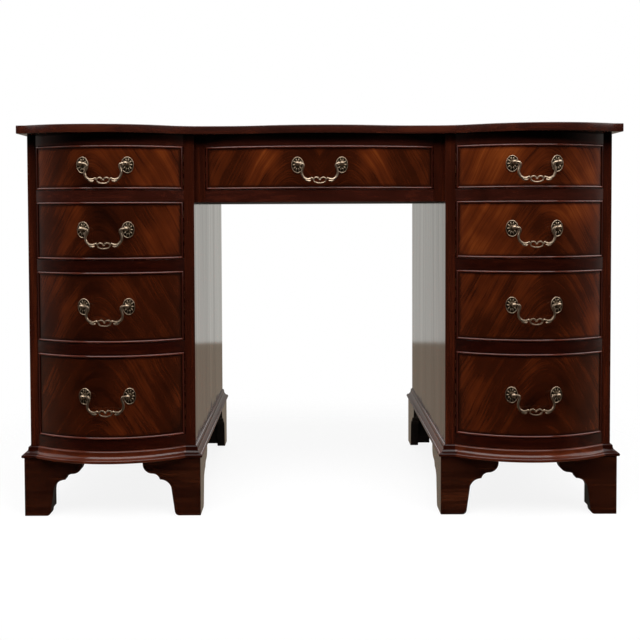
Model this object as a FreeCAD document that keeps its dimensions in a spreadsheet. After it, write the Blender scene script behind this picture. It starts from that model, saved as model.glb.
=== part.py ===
import FreeCAD, Part
import math
import os
import re
import Sketcher
from FreeCAD import Placement, Rotation, Vector

# A twin-pedestal kneehole desk with a serpentine front, in millimetres.
# +X is right, the front faces -Y and +Z is up. The origin is on the floor under the middle of the desk.
# Pieces are drawn with Y = 0 in the front plane of the pedestal stiles, then placed in the desk's frame.

doc = FreeCAD.newDocument("KneeholeDesk")
sheet = doc.addObject("Spreadsheet::Sheet", "Sizes")

# Driving dimensions
driving = {
    # Pedestals and kneehole, across the front
    "kneehole_width": 510,
    "inner_side_thickness": 21,
    "drawer_opening_width": 299,
    "outer_side_thickness": 17.5,
    # Heights, from the floor up
    "foot_height": 119,
    "moulding_height": 23,
    "bottom_rail_height": 22.5,
    "rail_height": 23.3,
    "top_rail_height": 23.5,
    "drawer_1_height": 87,
    "drawer_2_height": 114.4,
    "drawer_3_height": 140.5,
    "drawer_4_height": 167.7,
    "top_thickness": 16.5,
    # Carcass
    "carcass_depth": 543,
    "stile_thickness": 18,
    "rail_depth": 45,
    "bow_rise": 43,
    "back_panel_thickness": 8,
    "bottom_board_thickness": 8,
    "runner_width": 24,
    "runner_height": 15,
    "stop_width": 20,
    "stop_length": 22,
    "stop_height": 5,
    "stop_spacing": 120,
    "stop_gap": 0.5,
    # Kneehole frieze
    "centre_stile_width": 21,
    "centre_setback": 21,
    "centre_bow_rise": 36,
    "frieze_rail_height": 25,
    "dust_board_thickness": 6,
    "back_rail_thickness": 18,
    "guide_height": 30,
    # Top
    "top_side_overhang": 12.5,
    "top_back_overhang": 8,
    "top_corner_overhang": 28,
    "top_bow_overhang": 59,
    "top_bow_radius": 300,
    "top_apex_offset": 29.5,
    "top_dip_overhang": 1.5,
    "top_dip_outer_inset": 20,
    "top_dip_inner_inset": 60,
    "top_centre_overhang": 26,
    "top_centre_radius": 470,
    "leather_margin": 62,
    "leather_thickness": 1.2,
    "leather_fit": 1,
    "glue_line": 0.1,
    # Base moulding
    "moulding_projection": 15,
    "moulding_torus_height": 8,
    "moulding_quirk": 1,
    "moulding_shoulder_radius": 4,
    # Bracket feet
    "foot_stand_out": 10.5,
    "bracket_thickness": 20,
    "foot_width": 53,
    "foot_toe": 8,
    "foot_shoulder_width": 60,
    "foot_shoulder_height": 58,
    "scroll_cove_width": 23,
    "scroll_cove_height": 16,
    "scroll_step_width": 15,
    "scroll_step_height": 12,
    "scroll_lobe_radius": 20,
    "glue_block_width": 30,
    "glue_block_lift": 8,
    # Drawers
    "drawer_gap": 1,
    "drawer_back_gap": 45,
    "front_thickness": 20,
    "bead_width": 4,
    "bead_depth": 8,
    "bead_proud": 2.5,
    "bead_round": 1.5,
    "drawer_side_thickness": 9,
    "drawer_back_thickness": 9,
    "drawer_bottom_thickness": 5,
    "drawer_bottom_rise": 8,
    "drawer_bottom_fit": 0.3,
    "drawer_top_drop": 6,
    "runner_clearance": 0.3,
    # Handles
    "handle_spacing": 89,
    "handle_rise": 2,
    "upper_handle_rise": 4.5,
    "post_rise": 2.5,
    "rosette_width": 25,
    "rosette_height": 33.5,
    "rosette_dome": 3.5,
    "post_radius": 3.2,
    "post_length": 17,
    "post_head_radius": 5,
    "bolt_radius": 2.2,
    "bolt_clearance": 0.3,
    "bolt_tail": 2,
    "nut_radius": 5,
    "nut_height": 4,
    "nut_seat_gap": 0.1,
    "bail_wire_radius": 2,
    "pin_clearance": 0.05,
    "pin_end_gap": 0.5,
    "bail_neck_half_width": 35.8,
    "bail_neck_radius": 4.5,
    "bail_half_width": 36.4,
    "bail_drop": 33.5,
    "bail_curl_radius": 11,
    "ring_width": 24.4,
    "ring_height": 13,
    "ring_wire_radius": 1.7,
}
for row, (alias, number) in enumerate(driving.items(), start=1):
    sheet.set(f"A{row}", alias)
    sheet.set(f"B{row}", str(number))
    sheet.setAlias(f"B{row}", alias)
doc.recompute()


# Expressions over the sheet
def in_sheet(text):
    """Prefix each size named in an expression with the sheet that holds it."""
    return re.sub(r"[a-z_][a-z0-9_]*", lambda m: f"Sizes.{m[0]}" if m[0] in driving else m[0], str(text))


def value(text):
    """The number that an expression gives now."""
    result = sheet.evalExpression(in_sheet(text))
    return float(getattr(result, "Value", result))


def bind(thing, **expressions):
    """Tie properties of an object to expressions over the sheet; base_x, base_y and base_z are its place."""
    for name, text in expressions.items():
        path = f"Placement.Base.{name[-1]}" if name.startswith("base_") else name
        thing.setExpression(path, in_sheet(text))
    return thing


def times(sign, text):
    """An expression with a sign in front."""
    return f"({text})" if sign > 0 else f"-({text})"


# Sketch outlines and slabs
def constrain(sketch, kind, where, text):
    index = sketch.addConstraint(Sketcher.Constraint(kind, *where, value(text)))
    sketch.setExpression(f"Constraints[{index}]", in_sheet(text))


def arc_through(start, finish, radius, turn):
    """The lesser arc from start to finish: turn is +1 counter-clockwise and -1 clockwise."""
    chord = finish - start
    across = Vector(-chord.y, chord.x, 0).normalize()
    rise = math.sqrt(max(radius ** 2 - (chord.Length / 2) ** 2, 0))
    centre = (start + finish) / 2 + across * rise * turn
    first, last = (start, finish) if turn > 0 else (finish, start)
    angles = [math.atan2(point.y - centre.y, point.x - centre.x) for point in (first, last)]
    return Part.ArcOfCircle(Part.Circle(centre, Vector(0, 0, 1), radius), *angles)


def draw(sketch, corners, closed=True):
    """Draw an outline. A corner is (x, y), or (x, y, radius, turn) where an arc leads to the next corner."""
    points = [Vector(value(corner[0]), value(corner[1]), 0) for corner in corners]
    runs = corners if closed else corners[:-1]
    ends = []
    for index, corner in enumerate(runs):
        start = points[index]
        finish = points[(index + 1) % len(points)]
        if len(corner) == 2:
            sketch.addGeometry(Part.LineSegment(start, finish), False)
            ends.append((1, 2))
        else:
            sketch.addGeometry(arc_through(start, finish, value(corner[2]), corner[3]), False)
            ends.append((1, 2) if corner[3] > 0 else (2, 1))
    for index, corner in enumerate(runs):
        following = (index + 1) % len(corners)
        if following < len(runs):
            joint = (index, ends[index][1], following, ends[following][0])
            sketch.addConstraint(Sketcher.Constraint("Coincident", *joint))
        constrain(sketch, "DistanceX", (index, ends[index][0]), corner[0])
        constrain(sketch, "DistanceY", (index, ends[index][0]), corner[1])
        if len(corner) > 2:
            constrain(sketch, "Radius", (index,), corner[2])
    if not closed:
        constrain(sketch, "DistanceX", (len(runs) - 1, ends[-1][1]), corners[-1][0])
        constrain(sketch, "DistanceY", (len(runs) - 1, ends[-1][1]), corners[-1][1])


def new_sketch(body, role, offset="0"):
    """A sketch on one of the body's own origin planes, moved along the plane's normal."""
    sketch = body.newObject("Sketcher::SketchObject", "Sketch")
    plane = next(feature for feature in body.Origin.OriginFeatures if feature.Role == role)
    sketch.AttachmentSupport = [(plane, "")]
    sketch.MapMode = "FlatFace"
    sketch.setExpression("AttachmentOffset.Base.z", in_sheet(offset))
    return sketch


def pad(body, role, corners, start, thickness):
    """Add a slab that grows from start towards +X, +Y or +Z, whichever its plane faces."""
    facing_back = role == "XZ_Plane"
    sketch = new_sketch(body, role, times(-1 if facing_back else 1, start))
    draw(sketch, corners)
    feature = body.newObject("PartDesign::Pad", "Pad")
    feature.Profile = sketch
    feature.Reversed = facing_back
    return bind(feature, Length=thickness)


def slab(name, role, corners, start, thickness):
    body = doc.addObject("PartDesign::Body", name)
    pad(body, role, corners, start, thickness)
    return body


def board(name, x, width, y, depth, z, height):
    """A plain board, centred on x, that starts at y and z."""
    box = doc.addObject("Part::Box", name)
    bind(box, Length=width, Width=depth, Height=height)
    return bind(box, base_x=f"({x}) - ({width}) / 2", base_y=y, base_z=z)


def common(name, first, second):
    both = doc.addObject("Part::Common", name)
    both.Base = first
    both.Tool = second
    return both


nodes = []
beads = []


def node(name, solids, x="0", y="0", z="0"):
    """A named sub-part made of one or more solids, placed in the desk's frame."""
    group = doc.addObject("Part::Compound", name)
    group.Label = name
    group.Links = solids
    bind(group, base_x=x, base_y=f"{stile_plane} + ({y})", base_z=z)
    nodes.append(group)


# Bowed fronts
class Bow:
    """A bowed front in plan: an arc over a chord along X that bulges towards -Y."""

    def __init__(self, chord, rise):
        self.half = f"({chord}) / 2"
        self.face = f"((({chord}) / 2)^2 + ({rise})^2) / (2 * ({rise}))"
        self.centre = f"{self.face} - ({rise})"

    def radius(self, offset):
        """Radius of the arc that lies offset in front of the face."""
        return f"{self.face} + ({offset})"

    def depth(self, offset, x):
        """Y of that arc, x away from the middle of the bow."""
        return f"{self.centre} - sqrt(({self.radius(offset)})^2 - ({x})^2)"


pedestal_bow = Bow("drawer_opening_width", "bow_rise")
centre_bow = Bow("kneehole_width - 2 * centre_stile_width", "centre_bow_rise")

# Places that several pieces share
knee_x = "kneehole_width / 2"
opening_x = f"{knee_x} + inner_side_thickness + drawer_opening_width / 2"
opening_end_x = f"{knee_x} + inner_side_thickness + drawer_opening_width"
outer_x = f"{opening_end_x} + outer_side_thickness"
opening_z = {4: "foot_height + moulding_height + bottom_rail_height"}
for number in (3, 2, 1):
    below = number + 1
    opening_z[number] = f"{opening_z[below]} + drawer_{below}_height + 2 * drawer_gap + rail_height"
opening_top_z = f"{opening_z[1]} + drawer_1_height + 2 * drawer_gap"
carcass_top_z = f"{opening_top_z} + top_rail_height"
frieze_z = f"{opening_z[1]} - frieze_rail_height"
carcass_height = f"{carcass_top_z} - foot_height"
back_panel_y = "carcass_depth - back_panel_thickness"
back_rail_y = "carcass_depth - back_rail_thickness"
drawer_back_y = f"min({back_panel_y}; {back_rail_y}) - drawer_back_gap"
handle_y = pedestal_bow.depth("0", "handle_spacing / 2")
front_reach = f"max(post_length + post_head_radius - ({handle_y}); top_bow_overhang)"
stile_plane = f"({front_reach} - carcass_depth - top_back_overhang) / 2"


# Top: its front edge swells over each pedestal, dips beside the kneehole and swells again in the middle
def top_outline(inset, corners_cut):
    """Outline of the top, moved in by inset all round. A cut corner ends the bow short of the side."""
    apex_x = f"({opening_x} + top_apex_offset)"
    dip_x = f"({knee_x} - top_dip_outer_inset)"
    flat_x = f"({knee_x} - top_dip_inner_inset)"
    side_x = f"{outer_x} + top_side_overhang - ({inset})"
    corner_y = f"({inset}) - top_corner_overhang"
    dip_y = f"({inset}) - top_dip_overhang"
    back_y = f"carcass_depth + top_back_overhang - ({inset})"

    def swell(reach, overhang, swell_radius):
        """Where a swelling arc turns into the hollow one: x back from the apex, y, and the hollow's radius."""
        drop = f"({overhang} - top_dip_overhang)"
        radii = f"((({reach})^2 + {drop}^2) / (2 * {drop}))"
        turn_x = f"({swell_radius} - ({inset})) * ({reach}) / {radii}"
        turn_y = f"{swell_radius} - {overhang} - ({swell_radius} - ({inset})) * (1 - {drop} / {radii})"
        return turn_x, turn_y, f"{radii} - {swell_radius} + ({inset})"

    bow_radius = f"top_bow_radius - ({inset})"
    centre_radius = f"top_centre_radius - ({inset})"
    bow_turn, bow_turn_y, bow_hollow = swell(f"{apex_x} - {dip_x}", "top_bow_overhang", "top_bow_radius")
    mid_turn, mid_turn_y, mid_hollow = swell(flat_x, "top_centre_overhang", "top_centre_radius")
    corner_rise = f"({bow_radius} - top_bow_overhang + top_corner_overhang)"
    corner_x = f"{apex_x} + sqrt(({bow_radius})^2 - {corner_rise}^2)"
    meeting_y = f"top_bow_radius - top_bow_overhang - sqrt(({bow_radius})^2 - ({side_x} - {apex_x})^2)"
    corner = [(corner_x, corner_y), (side_x, corner_y)] if corners_cut else [(side_x, meeting_y)]
    far_corner = [(f"-({x})", y) for x, y in reversed(corner)]

    right = [
        (mid_turn, mid_turn_y, mid_hollow, -1),
        (flat_x, dip_y),
        (dip_x, dip_y, bow_hollow, -1),
        (f"{apex_x} - {bow_turn}", bow_turn_y, bow_radius, 1),
        *corner,
        (side_x, back_y),
    ]
    left = [
        (f"-({side_x})", back_y),
        *far_corner[:-1],
        (*far_corner[-1], bow_radius, 1),
        (f"-({apex_x} - {bow_turn})", bow_turn_y, bow_hollow, -1),
        (f"-({dip_x})", dip_y),
        (f"-({flat_x})", dip_y, mid_hollow, -1),
        (f"-({mid_turn})", mid_turn_y, centre_radius, 1),
    ]
    return right + left


top = slab("top_board", "XY_Plane", top_outline("0", True), carcass_top_z, "top_thickness")
recess = slab("leather_recess", "XY_Plane", top_outline("leather_margin", False),
              f"{carcass_top_z} + top_thickness - leather_thickness - glue_line", "top_thickness")
top_cut = doc.addObject("Part::Cut", "top_with_recess")
top_cut.Base = top
top_cut.Tool = recess
node("desk_top", [top_cut])
leather = slab("leather", "XY_Plane", top_outline("leather_margin + leather_fit", False),
               f"{carcass_top_z} + top_thickness - leather_thickness", "leather_thickness")
node("leather_writing_surface", [leather])


# Front rails: bowed in front, straight behind
def bowed_rail(name, bow, x, y, z, height):
    corners = [
        (f"{x} - {bow.half}", y, bow.face, 1),
        (f"{x} + {bow.half}", y),
        (f"{x} + {bow.half}", f"{y} + rail_depth"),
        (f"{x} - {bow.half}", f"{y} + rail_depth"),
    ]
    return slab(name, "XY_Plane", corners, z, height)


# Base moulding: a rounded shoulder over a cove that flares out to a half-round torus
def moulding_profile(place, turn):
    """Corners of the section; place turns a stand-out from the wall into the sketch's first coordinate."""
    nose_radius = "(moulding_torus_height / 2)"
    nose_out = f"(moulding_projection - {nose_radius})"
    cove_out = f"({nose_out} - moulding_quirk)"
    cove_top = "(moulding_height - moulding_shoulder_radius)"
    run = f"({cove_out} - moulding_shoulder_radius)"
    fall = f"({cove_top} - moulding_torus_height)"
    cove_radius = f"({run}^2 + {fall}^2) / (2 * {run})"
    section = [
        ("0", "0"),
        (nose_out, "0", nose_radius, turn),
        ("moulding_projection", nose_radius, nose_radius, turn),
        (nose_out, "moulding_torus_height"),
        (cove_out, "moulding_torus_height", cove_radius, -turn),
        ("moulding_shoulder_radius", cove_top, "moulding_shoulder_radius", turn),
        ("0", "moulding_height"),
    ]
    return [(place(corner[0]), f"foot_height + {corner[1]}", *corner[2:]) for corner in section]


def moulding_zone(name, corners):
    """The plan that a length of moulding is mitred to."""
    return slab(name, "XY_Plane", corners, "foot_height", "moulding_height")


def base_moulding(hand, side):
    """Mitred lengths: down both sides, across each stile and round the bow."""
    reach = "(bow_rise + 2 * moulding_projection)"
    mitre = "(2 * moulding_projection)"
    kink = f"(bow_rise / ({pedestal_bow.half}))"
    lengths = []
    walls = {"outer": (outer_x, opening_end_x, 1), "inner": (knee_x, f"{knee_x} + inner_side_thickness", -1)}
    for wall, (wall_x, kink_x, away) in walls.items():
        out = side * away
        tip_x = f"{wall_x} + {away} * {mitre}"
        run = slab(f"{hand}_{wall}_moulding_run", "XZ_Plane",
                   moulding_profile(lambda stand: f"{side} * ({wall_x}) + {out} * ({stand})", out),
                   f"-{mitre}", f"carcass_depth + {mitre}")
        zone = moulding_zone(f"{hand}_{wall}_moulding_zone", [
            (times(side, wall_x), "0"),
            (times(side, tip_x), f"-{mitre}"),
            (times(side, tip_x), "carcass_depth"),
            (times(side, wall_x), "carcass_depth"),
        ])
        lengths.append(common(f"{hand}_{wall}_moulding", run, zone))
        low_x = f"{side} * ({wall_x} + {kink_x}) / 2 - {mitre} - outer_side_thickness - inner_side_thickness"
        run = slab(f"{hand}_{wall}_stile_moulding_run", "YZ_Plane",
                   moulding_profile(lambda stand: f"-({stand})", -1),
                   low_x, f"2 * ({mitre} + outer_side_thickness + inner_side_thickness)")
        zone = moulding_zone(f"{hand}_{wall}_stile_moulding_zone", [
            (times(side, wall_x), "0"),
            (times(side, tip_x), f"-{mitre}"),
            (times(side, f"{kink_x} + {away} * {mitre} * {kink}"), f"-{mitre}"),
            (times(side, kink_x), "0"),
        ])
        lengths.append(common(f"{hand}_{wall}_stile_moulding", run, zone))
    bow = doc.addObject("PartDesign::Body", f"{hand}_bow_moulding_run")
    profile = new_sketch(bow, "YZ_Plane")
    draw(profile, moulding_profile(lambda stand: f"-({pedestal_bow.face} + ({stand}))", -1))
    turned = bow.newObject("PartDesign::Revolution", "Revolution")
    turned.Profile = profile
    turned.ReferenceAxis = (profile, ["V_Axis"])
    turned.Midplane = True
    bind(turned, Angle=f"2 * asin({pedestal_bow.half} / ({pedestal_bow.face}))")
    bind(bow, base_x=times(side, opening_x), base_y=pedestal_bow.centre)
    middle = times(side, opening_x)
    zone = moulding_zone(f"{hand}_bow_moulding_zone", [
        (f"{middle} - {pedestal_bow.half}", "0"),
        (f"{middle} - {pedestal_bow.half} - {reach} * {kink}", f"-{reach}"),
        (f"{middle} + {pedestal_bow.half} + {reach} * {kink}", f"-{reach}"),
        (f"{middle} + {pedestal_bow.half}", "0"),
    ])
    lengths.append(common(f"{hand}_bow_moulding", bow, zone))
    node(f"{hand}_base_moulding", lengths)


# Bracket feet: a scrolled bracket on the face, another on the side and a glue block in their corner
def bracket_outline(place, turn, start):
    """Corners of a bracket; place turns a distance from the foot's corner into the first coordinate."""
    cusp_x = "(foot_shoulder_width + scroll_cove_width)"
    cusp_z = "(foot_shoulder_height + scroll_cove_height)"
    lobe_x = f"({cusp_x} + scroll_step_width)"
    lobe_z = f"({cusp_z} + scroll_step_height)"
    cove_radius = "(scroll_cove_width^2 + scroll_cove_height^2) / (2 * scroll_cove_height)"
    step_radius = "(scroll_step_width^2 + scroll_step_height^2) / (2 * scroll_step_height)"
    shape = [
        (start, "0"),
        ("foot_width - foot_toe", "0"),
        ("foot_width", "foot_toe"),
        ("foot_shoulder_width", "foot_shoulder_height", cove_radius, -turn),
        (cusp_x, cusp_z, step_radius, -turn),
        (lobe_x, lobe_z, "scroll_lobe_radius", turn),
        (f"{lobe_x} + scroll_lobe_radius", f"{lobe_z} + scroll_lobe_radius"),
        (f"{lobe_x} + scroll_lobe_radius", "foot_height"),
        (start, "foot_height"),
    ]
    return [(place(corner[0]), *corner[1:]) for corner in shape]


def bracket_foot(name, corner_x, corner_y, inward, backward):
    """One foot: inward and backward are the signs of X and Y that lead into the pedestal."""
    face = slab(f"{name}_face", "XZ_Plane",
                bracket_outline(lambda run: f"{corner_x} + {inward} * ({run})", inward, "0"),
                corner_y if backward > 0 else f"{corner_y} - bracket_thickness", "bracket_thickness")
    side = slab(f"{name}_side", "YZ_Plane",
                bracket_outline(lambda run: f"{corner_y} + {backward} * ({run})", backward, "bracket_thickness"),
                corner_x if inward > 0 else f"{corner_x} - bracket_thickness", "bracket_thickness")
    middle = "(bracket_thickness + glue_block_width / 2)"
    block = board(f"{name}_block", f"{corner_x} + {inward} * {middle}", "glue_block_width",
                  f"{corner_y} + {backward} * {middle} - glue_block_width / 2", "glue_block_width",
                  "glue_block_lift", "foot_height - glue_block_lift")
    return [face, side, block]


# Pedestals
def pedestal(hand, side):
    """One pedestal: side is +1 for the right one and -1 for the left one."""
    outer_middle = times(side, f"{outer_x} - outer_side_thickness / 2")
    inner_middle = times(side, f"{knee_x} + inner_side_thickness / 2")
    middle = times(side, opening_x)
    panel_depth = "carcass_depth - stile_thickness"
    node(f"{hand}_pedestal_outer_side", [board(f"{hand}_outer_panel", outer_middle, "outer_side_thickness",
                                               "stile_thickness", panel_depth, "foot_height", carcass_height)])
    node(f"{hand}_pedestal_inner_side", [board(f"{hand}_inner_panel", inner_middle, "inner_side_thickness",
                                               "stile_thickness", panel_depth, "foot_height", carcass_height)])
    node(f"{hand}_pedestal_back", [board(f"{hand}_back_panel", middle, "drawer_opening_width",
                                         back_panel_y, "back_panel_thickness", "foot_height", carcass_height)])
    node(f"{hand}_pedestal_bottom", [board(f"{hand}_bottom_board", middle, "drawer_opening_width", "rail_depth",
                                           f"{back_panel_y} - rail_depth", "foot_height",
                                           "bottom_board_thickness")])
    node(f"{hand}_pedestal_stiles", [
        board(f"{hand}_outer_stile", outer_middle, "outer_side_thickness", "0", "stile_thickness",
              "foot_height", carcass_height),
        board(f"{hand}_inner_stile", inner_middle, "inner_side_thickness", "0", "stile_thickness",
              "foot_height", carcass_height),
    ])

    rails = [
        bowed_rail(f"{hand}_bottom_rail", pedestal_bow, middle, "0", "foot_height",
                   f"{opening_z[4]} - foot_height"),
        bowed_rail(f"{hand}_top_rail", pedestal_bow, middle, "0", opening_top_z, "top_rail_height"),
    ]
    for number in (1, 2, 3):
        rails.append(bowed_rail(f"{hand}_rail_{number}", pedestal_bow, middle, "0",
                                f"{opening_z[number]} - rail_height", "rail_height"))
    stop_y = f"{pedestal_bow.depth('-front_thickness', '(stop_spacing + stop_width) / 2')} + stop_gap"
    for number in (1, 2, 3, 4):
        for end in (-1, 1):
            rails.append(board(f"{hand}_stop_{number}", f"{middle} + {end} * stop_spacing / 2", "stop_width",
                               stop_y, "stop_length", opening_z[number], "stop_height"))
    node(f"{hand}_pedestal_rails", rails)

    runners = []
    levels = {number: f"{opening_z[number]} - runner_height" for number in (1, 2, 3, 4)}
    levels["kicker"] = f"{carcass_top_z} - runner_height"
    for level, runner_z in levels.items():
        for end in (-1, 1):
            runner_x = f"{middle} + {end} * (drawer_opening_width - runner_width) / 2"
            runners.append(board(f"{hand}_runner_{level}", runner_x, "runner_width", "rail_depth",
                                 f"{back_panel_y} - rail_depth", runner_z, "runner_height"))
    node(f"{hand}_pedestal_runners", runners)

    base_moulding(hand, side)

    feet = []
    corner_x = {"outer": f"{side} * ({outer_x} + foot_stand_out)", "inner": f"{side} * ({knee_x} - foot_stand_out)"}
    inward = {"outer": -side, "inner": side}
    for wall in ("outer", "inner"):
        feet += bracket_foot(f"{hand}_{wall}_front_foot", corner_x[wall], "-foot_stand_out", inward[wall], 1)
        feet += bracket_foot(f"{hand}_{wall}_back_foot", corner_x[wall], "carcass_depth", inward[wall], -1)
    node(f"{hand}_bracket_feet", feet)


pedestal("left", -1)
pedestal("right", 1)

# Kneehole frieze: carries the centre drawer between the pedestals
frieze_height = f"{carcass_top_z} - ({frieze_z})"
frieze_stile_x = f"{knee_x} - centre_stile_width / 2"
frieze_front_y = "centre_setback + rail_depth"
node("kneehole_frieze", [
    board("frieze_left_stile", f"-({frieze_stile_x})", "centre_stile_width", "centre_setback", "rail_depth",
          frieze_z, frieze_height),
    board("frieze_right_stile", frieze_stile_x, "centre_stile_width", "centre_setback", "rail_depth",
          frieze_z, frieze_height),
    bowed_rail("frieze_bottom_rail", centre_bow, "0", "centre_setback", frieze_z, "frieze_rail_height"),
    bowed_rail("frieze_top_rail", centre_bow, "0", "centre_setback", opening_top_z, "top_rail_height"),
])
node("kneehole_back_rail", [board("frieze_back_rail", "0", "kneehole_width", back_rail_y,
                                  "back_rail_thickness", frieze_z, frieze_height)])
node("kneehole_dust_board", [board("frieze_dust_board", "0", "kneehole_width", frieze_front_y,
                                   f"{back_rail_y} - ({frieze_front_y})", frieze_z, "dust_board_thickness")])
centre_runners = []
for end in (-1, 1):
    reach = "(centre_stile_width + runner_width)"
    centre_runners.append(board("centre_runner", f"{end} * ({knee_x} - {reach} / 2)", reach, frieze_front_y,
                                f"{back_rail_y} - ({frieze_front_y})", f"{frieze_z} + dust_board_thickness",
                                "frieze_rail_height - dust_board_thickness"))
    centre_runners.append(board("centre_guide", f"{end} * ({frieze_stile_x})", "centre_stile_width",
                                frieze_front_y, f"{back_rail_y} - ({frieze_front_y})", opening_z[1],
                                "guide_height"))
node("centre_drawer_runners", centre_runners)


# Drawers
def cylinder(name, radius, height, x, y, z, turned):
    """A round bar from (x, y, z) along -Y, +Y or +X."""
    axis, angle = {"forward": (Vector(1, 0, 0), 90), "back": (Vector(1, 0, 0), -90),
                   "right": (Vector(0, 1, 0), 90)}[turned]
    bar = doc.addObject("Part::Cylinder", name)
    bar.Placement = Placement(Vector(), Rotation(axis, angle))
    return bind(bar, Radius=radius, Height=height, base_x=x, base_y=y, base_z=z)


def drawer_front(name, bow, half, height, post_z):
    """A bowed board rebated all round, and the cock bead frame that fills the rebate."""
    inside = f"({half} - drawer_side_thickness)"
    land_y = bow.depth("-front_thickness", inside)
    rebate_y = bow.depth("-bead_depth", half)
    front = doc.addObject("PartDesign::Body", f"{name}_board")
    pad(front, "XY_Plane", [
        (f"-{half}", rebate_y, bow.radius("-bead_depth"), 1),
        (half, rebate_y),
        (half, land_y),
        (inside, land_y, bow.radius("-front_thickness"), -1),
        (f"-{inside}", land_y),
        (f"-{half}", land_y),
    ], "0", height)
    field = f"({half} - bead_width)"
    lap = "-(bead_depth + front_thickness) / 2"
    pad(front, "XY_Plane", [
        (f"-{field}", bow.depth("0", field), bow.face, 1),
        (field, bow.depth("0", field)),
        (field, bow.depth(lap, field), bow.radius(lap), -1),
        (f"-{field}", bow.depth(lap, field)),
    ], "bead_width", f"{height} - 2 * bead_width")
    holes = new_sketch(front, "XZ_Plane")
    for index, end in enumerate((-1, 1)):
        centre = Vector(end * value("handle_spacing / 2"), value(post_z), 0)
        radius = "bolt_radius + bolt_clearance"
        holes.addGeometry(Part.Circle(centre, Vector(0, 0, 1), value(radius)), False)
        constrain(holes, "DistanceX", (index, 3), f"{end} * handle_spacing / 2")
        constrain(holes, "DistanceY", (index, 3), post_z)
        constrain(holes, "Radius", (index,), radius)
    drilled = front.newObject("PartDesign::Pocket", "BoltHoles")
    drilled.Profile = holes
    drilled.Type = "ThroughAll"
    drilled.Midplane = True

    bead = doc.addObject("PartDesign::Body", f"{name}_bead")
    nose_y = bow.depth("bead_proud", half)
    pad(bead, "XY_Plane", [
        (f"-{half}", nose_y, bow.radius("bead_proud"), 1),
        (half, nose_y),
        (half, rebate_y, bow.radius("-bead_depth"), -1),
        (f"-{half}", rebate_y),
    ], "0", height)
    window = new_sketch(bead, "XZ_Plane")
    draw(window, [
        (f"-{field}", "bead_width"),
        (field, "bead_width"),
        (field, f"{height} - bead_width"),
        (f"-{field}", f"{height} - bead_width"),
    ])
    opened = bead.newObject("PartDesign::Pocket", "Window")
    opened.Profile = window
    opened.Type = "ThroughAll"
    opened.Midplane = True
    beads.append(bead)
    return [front, bead]


def drawer_box(name, bow, half, height, back_y):
    """Sides, back and bottom; the bottom follows the bow."""
    inside = f"({half} - drawer_side_thickness)"
    land_y = bow.depth("-front_thickness", inside)
    bottom_offset = "-(front_thickness + drawer_bottom_fit)"
    bottom_y = bow.depth(bottom_offset, inside)
    side_z = "runner_clearance - drawer_gap"
    back_z = f"{side_z} + drawer_bottom_rise + drawer_bottom_thickness"
    top_z = f"{height} - drawer_top_drop"
    side_x = f"({half} - drawer_side_thickness / 2)"
    boards = [board(f"{name}_side", f"{end} * {side_x}", "drawer_side_thickness", land_y,
                    f"{back_y} - ({land_y})", side_z, f"{top_z} - ({side_z})") for end in (-1, 1)]
    boards.append(board(f"{name}_back", "0", f"2 * {inside}", f"{back_y} - drawer_back_thickness",
                        "drawer_back_thickness", back_z, f"{top_z} - ({back_z})"))
    boards.append(slab(f"{name}_bottom", "XY_Plane", [
        (f"-{inside}", bottom_y, bow.radius(bottom_offset), 1),
        (inside, bottom_y),
        (inside, back_y),
        (f"-{inside}", back_y),
    ], f"{side_z} + drawer_bottom_rise", "drawer_bottom_thickness"))
    return boards


def rosettes(name, bow, post_z):
    """Two oval plates square to the bowed front, each with its post, bored head, bolt and nut.

    The post stands a little above the middle of its plate."""
    handle_x = "handle_spacing / 2"
    face_y = bow.depth("0", handle_x)
    nut_y = f"{bow.depth('-front_thickness', f'{handle_x} + nut_radius')} + nut_seat_gap"
    pieces = []
    for end in (-1, 1):
        x = f"{end} * {handle_x}"
        plate = doc.addObject("Part::Ellipsoid", f"{name}_plate")
        plate.Angle3 = 180
        plate.Placement = Placement(Vector(), Rotation(Vector(0, 0, 1), 180))
        bind(plate, Radius1="rosette_height / 2", Radius2="rosette_width / 2", Radius3="rosette_dome",
             base_x=x, base_y=face_y, base_z=f"{post_z} - post_rise")
        tilt = f"180 deg + {end} * asin({handle_x} / ({bow.face}))"
        plate.setExpression("Placement.Rotation.Angle", in_sheet(tilt))
        post = cylinder(f"{name}_post", "post_radius", "post_length", x, face_y, post_z, "forward")
        head = doc.addObject("Part::Sphere", f"{name}_head")
        bind(head, Radius="post_head_radius", base_x=x, base_y=f"{face_y} - post_length", base_z=post_z)
        bolt = cylinder(f"{name}_bolt", "bolt_radius", f"{nut_y} + nut_height + bolt_tail - ({face_y})",
                        x, face_y, post_z, "back")
        whole = doc.addObject("Part::MultiFuse", f"{name}_casting")
        whole.Shapes = [plate, post, head, bolt]
        bore_x = f"{handle_x} - 2 * post_head_radius" if end > 0 else f"-({handle_x}) - pin_end_gap"
        bore = cylinder(f"{name}_bore", "bail_wire_radius + pin_clearance", "2 * post_head_radius + pin_end_gap",
                        bore_x, f"{face_y} - post_length", post_z, "right")
        bored = doc.addObject("Part::Cut", f"{name}_rosette")
        bored.Base = whole
        bored.Tool = bore
        ring = cylinder(f"{name}_nut_blank", "nut_radius", "nut_height", x, nut_y, post_z, "back")
        thread = cylinder(f"{name}_nut_thread", "bolt_radius", "nut_height", x, nut_y, post_z, "back")
        nut = doc.addObject("Part::Cut", f"{name}_nut")
        nut.Base = ring
        nut.Tool = thread
        pieces += [bored, nut]
    return pieces


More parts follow.
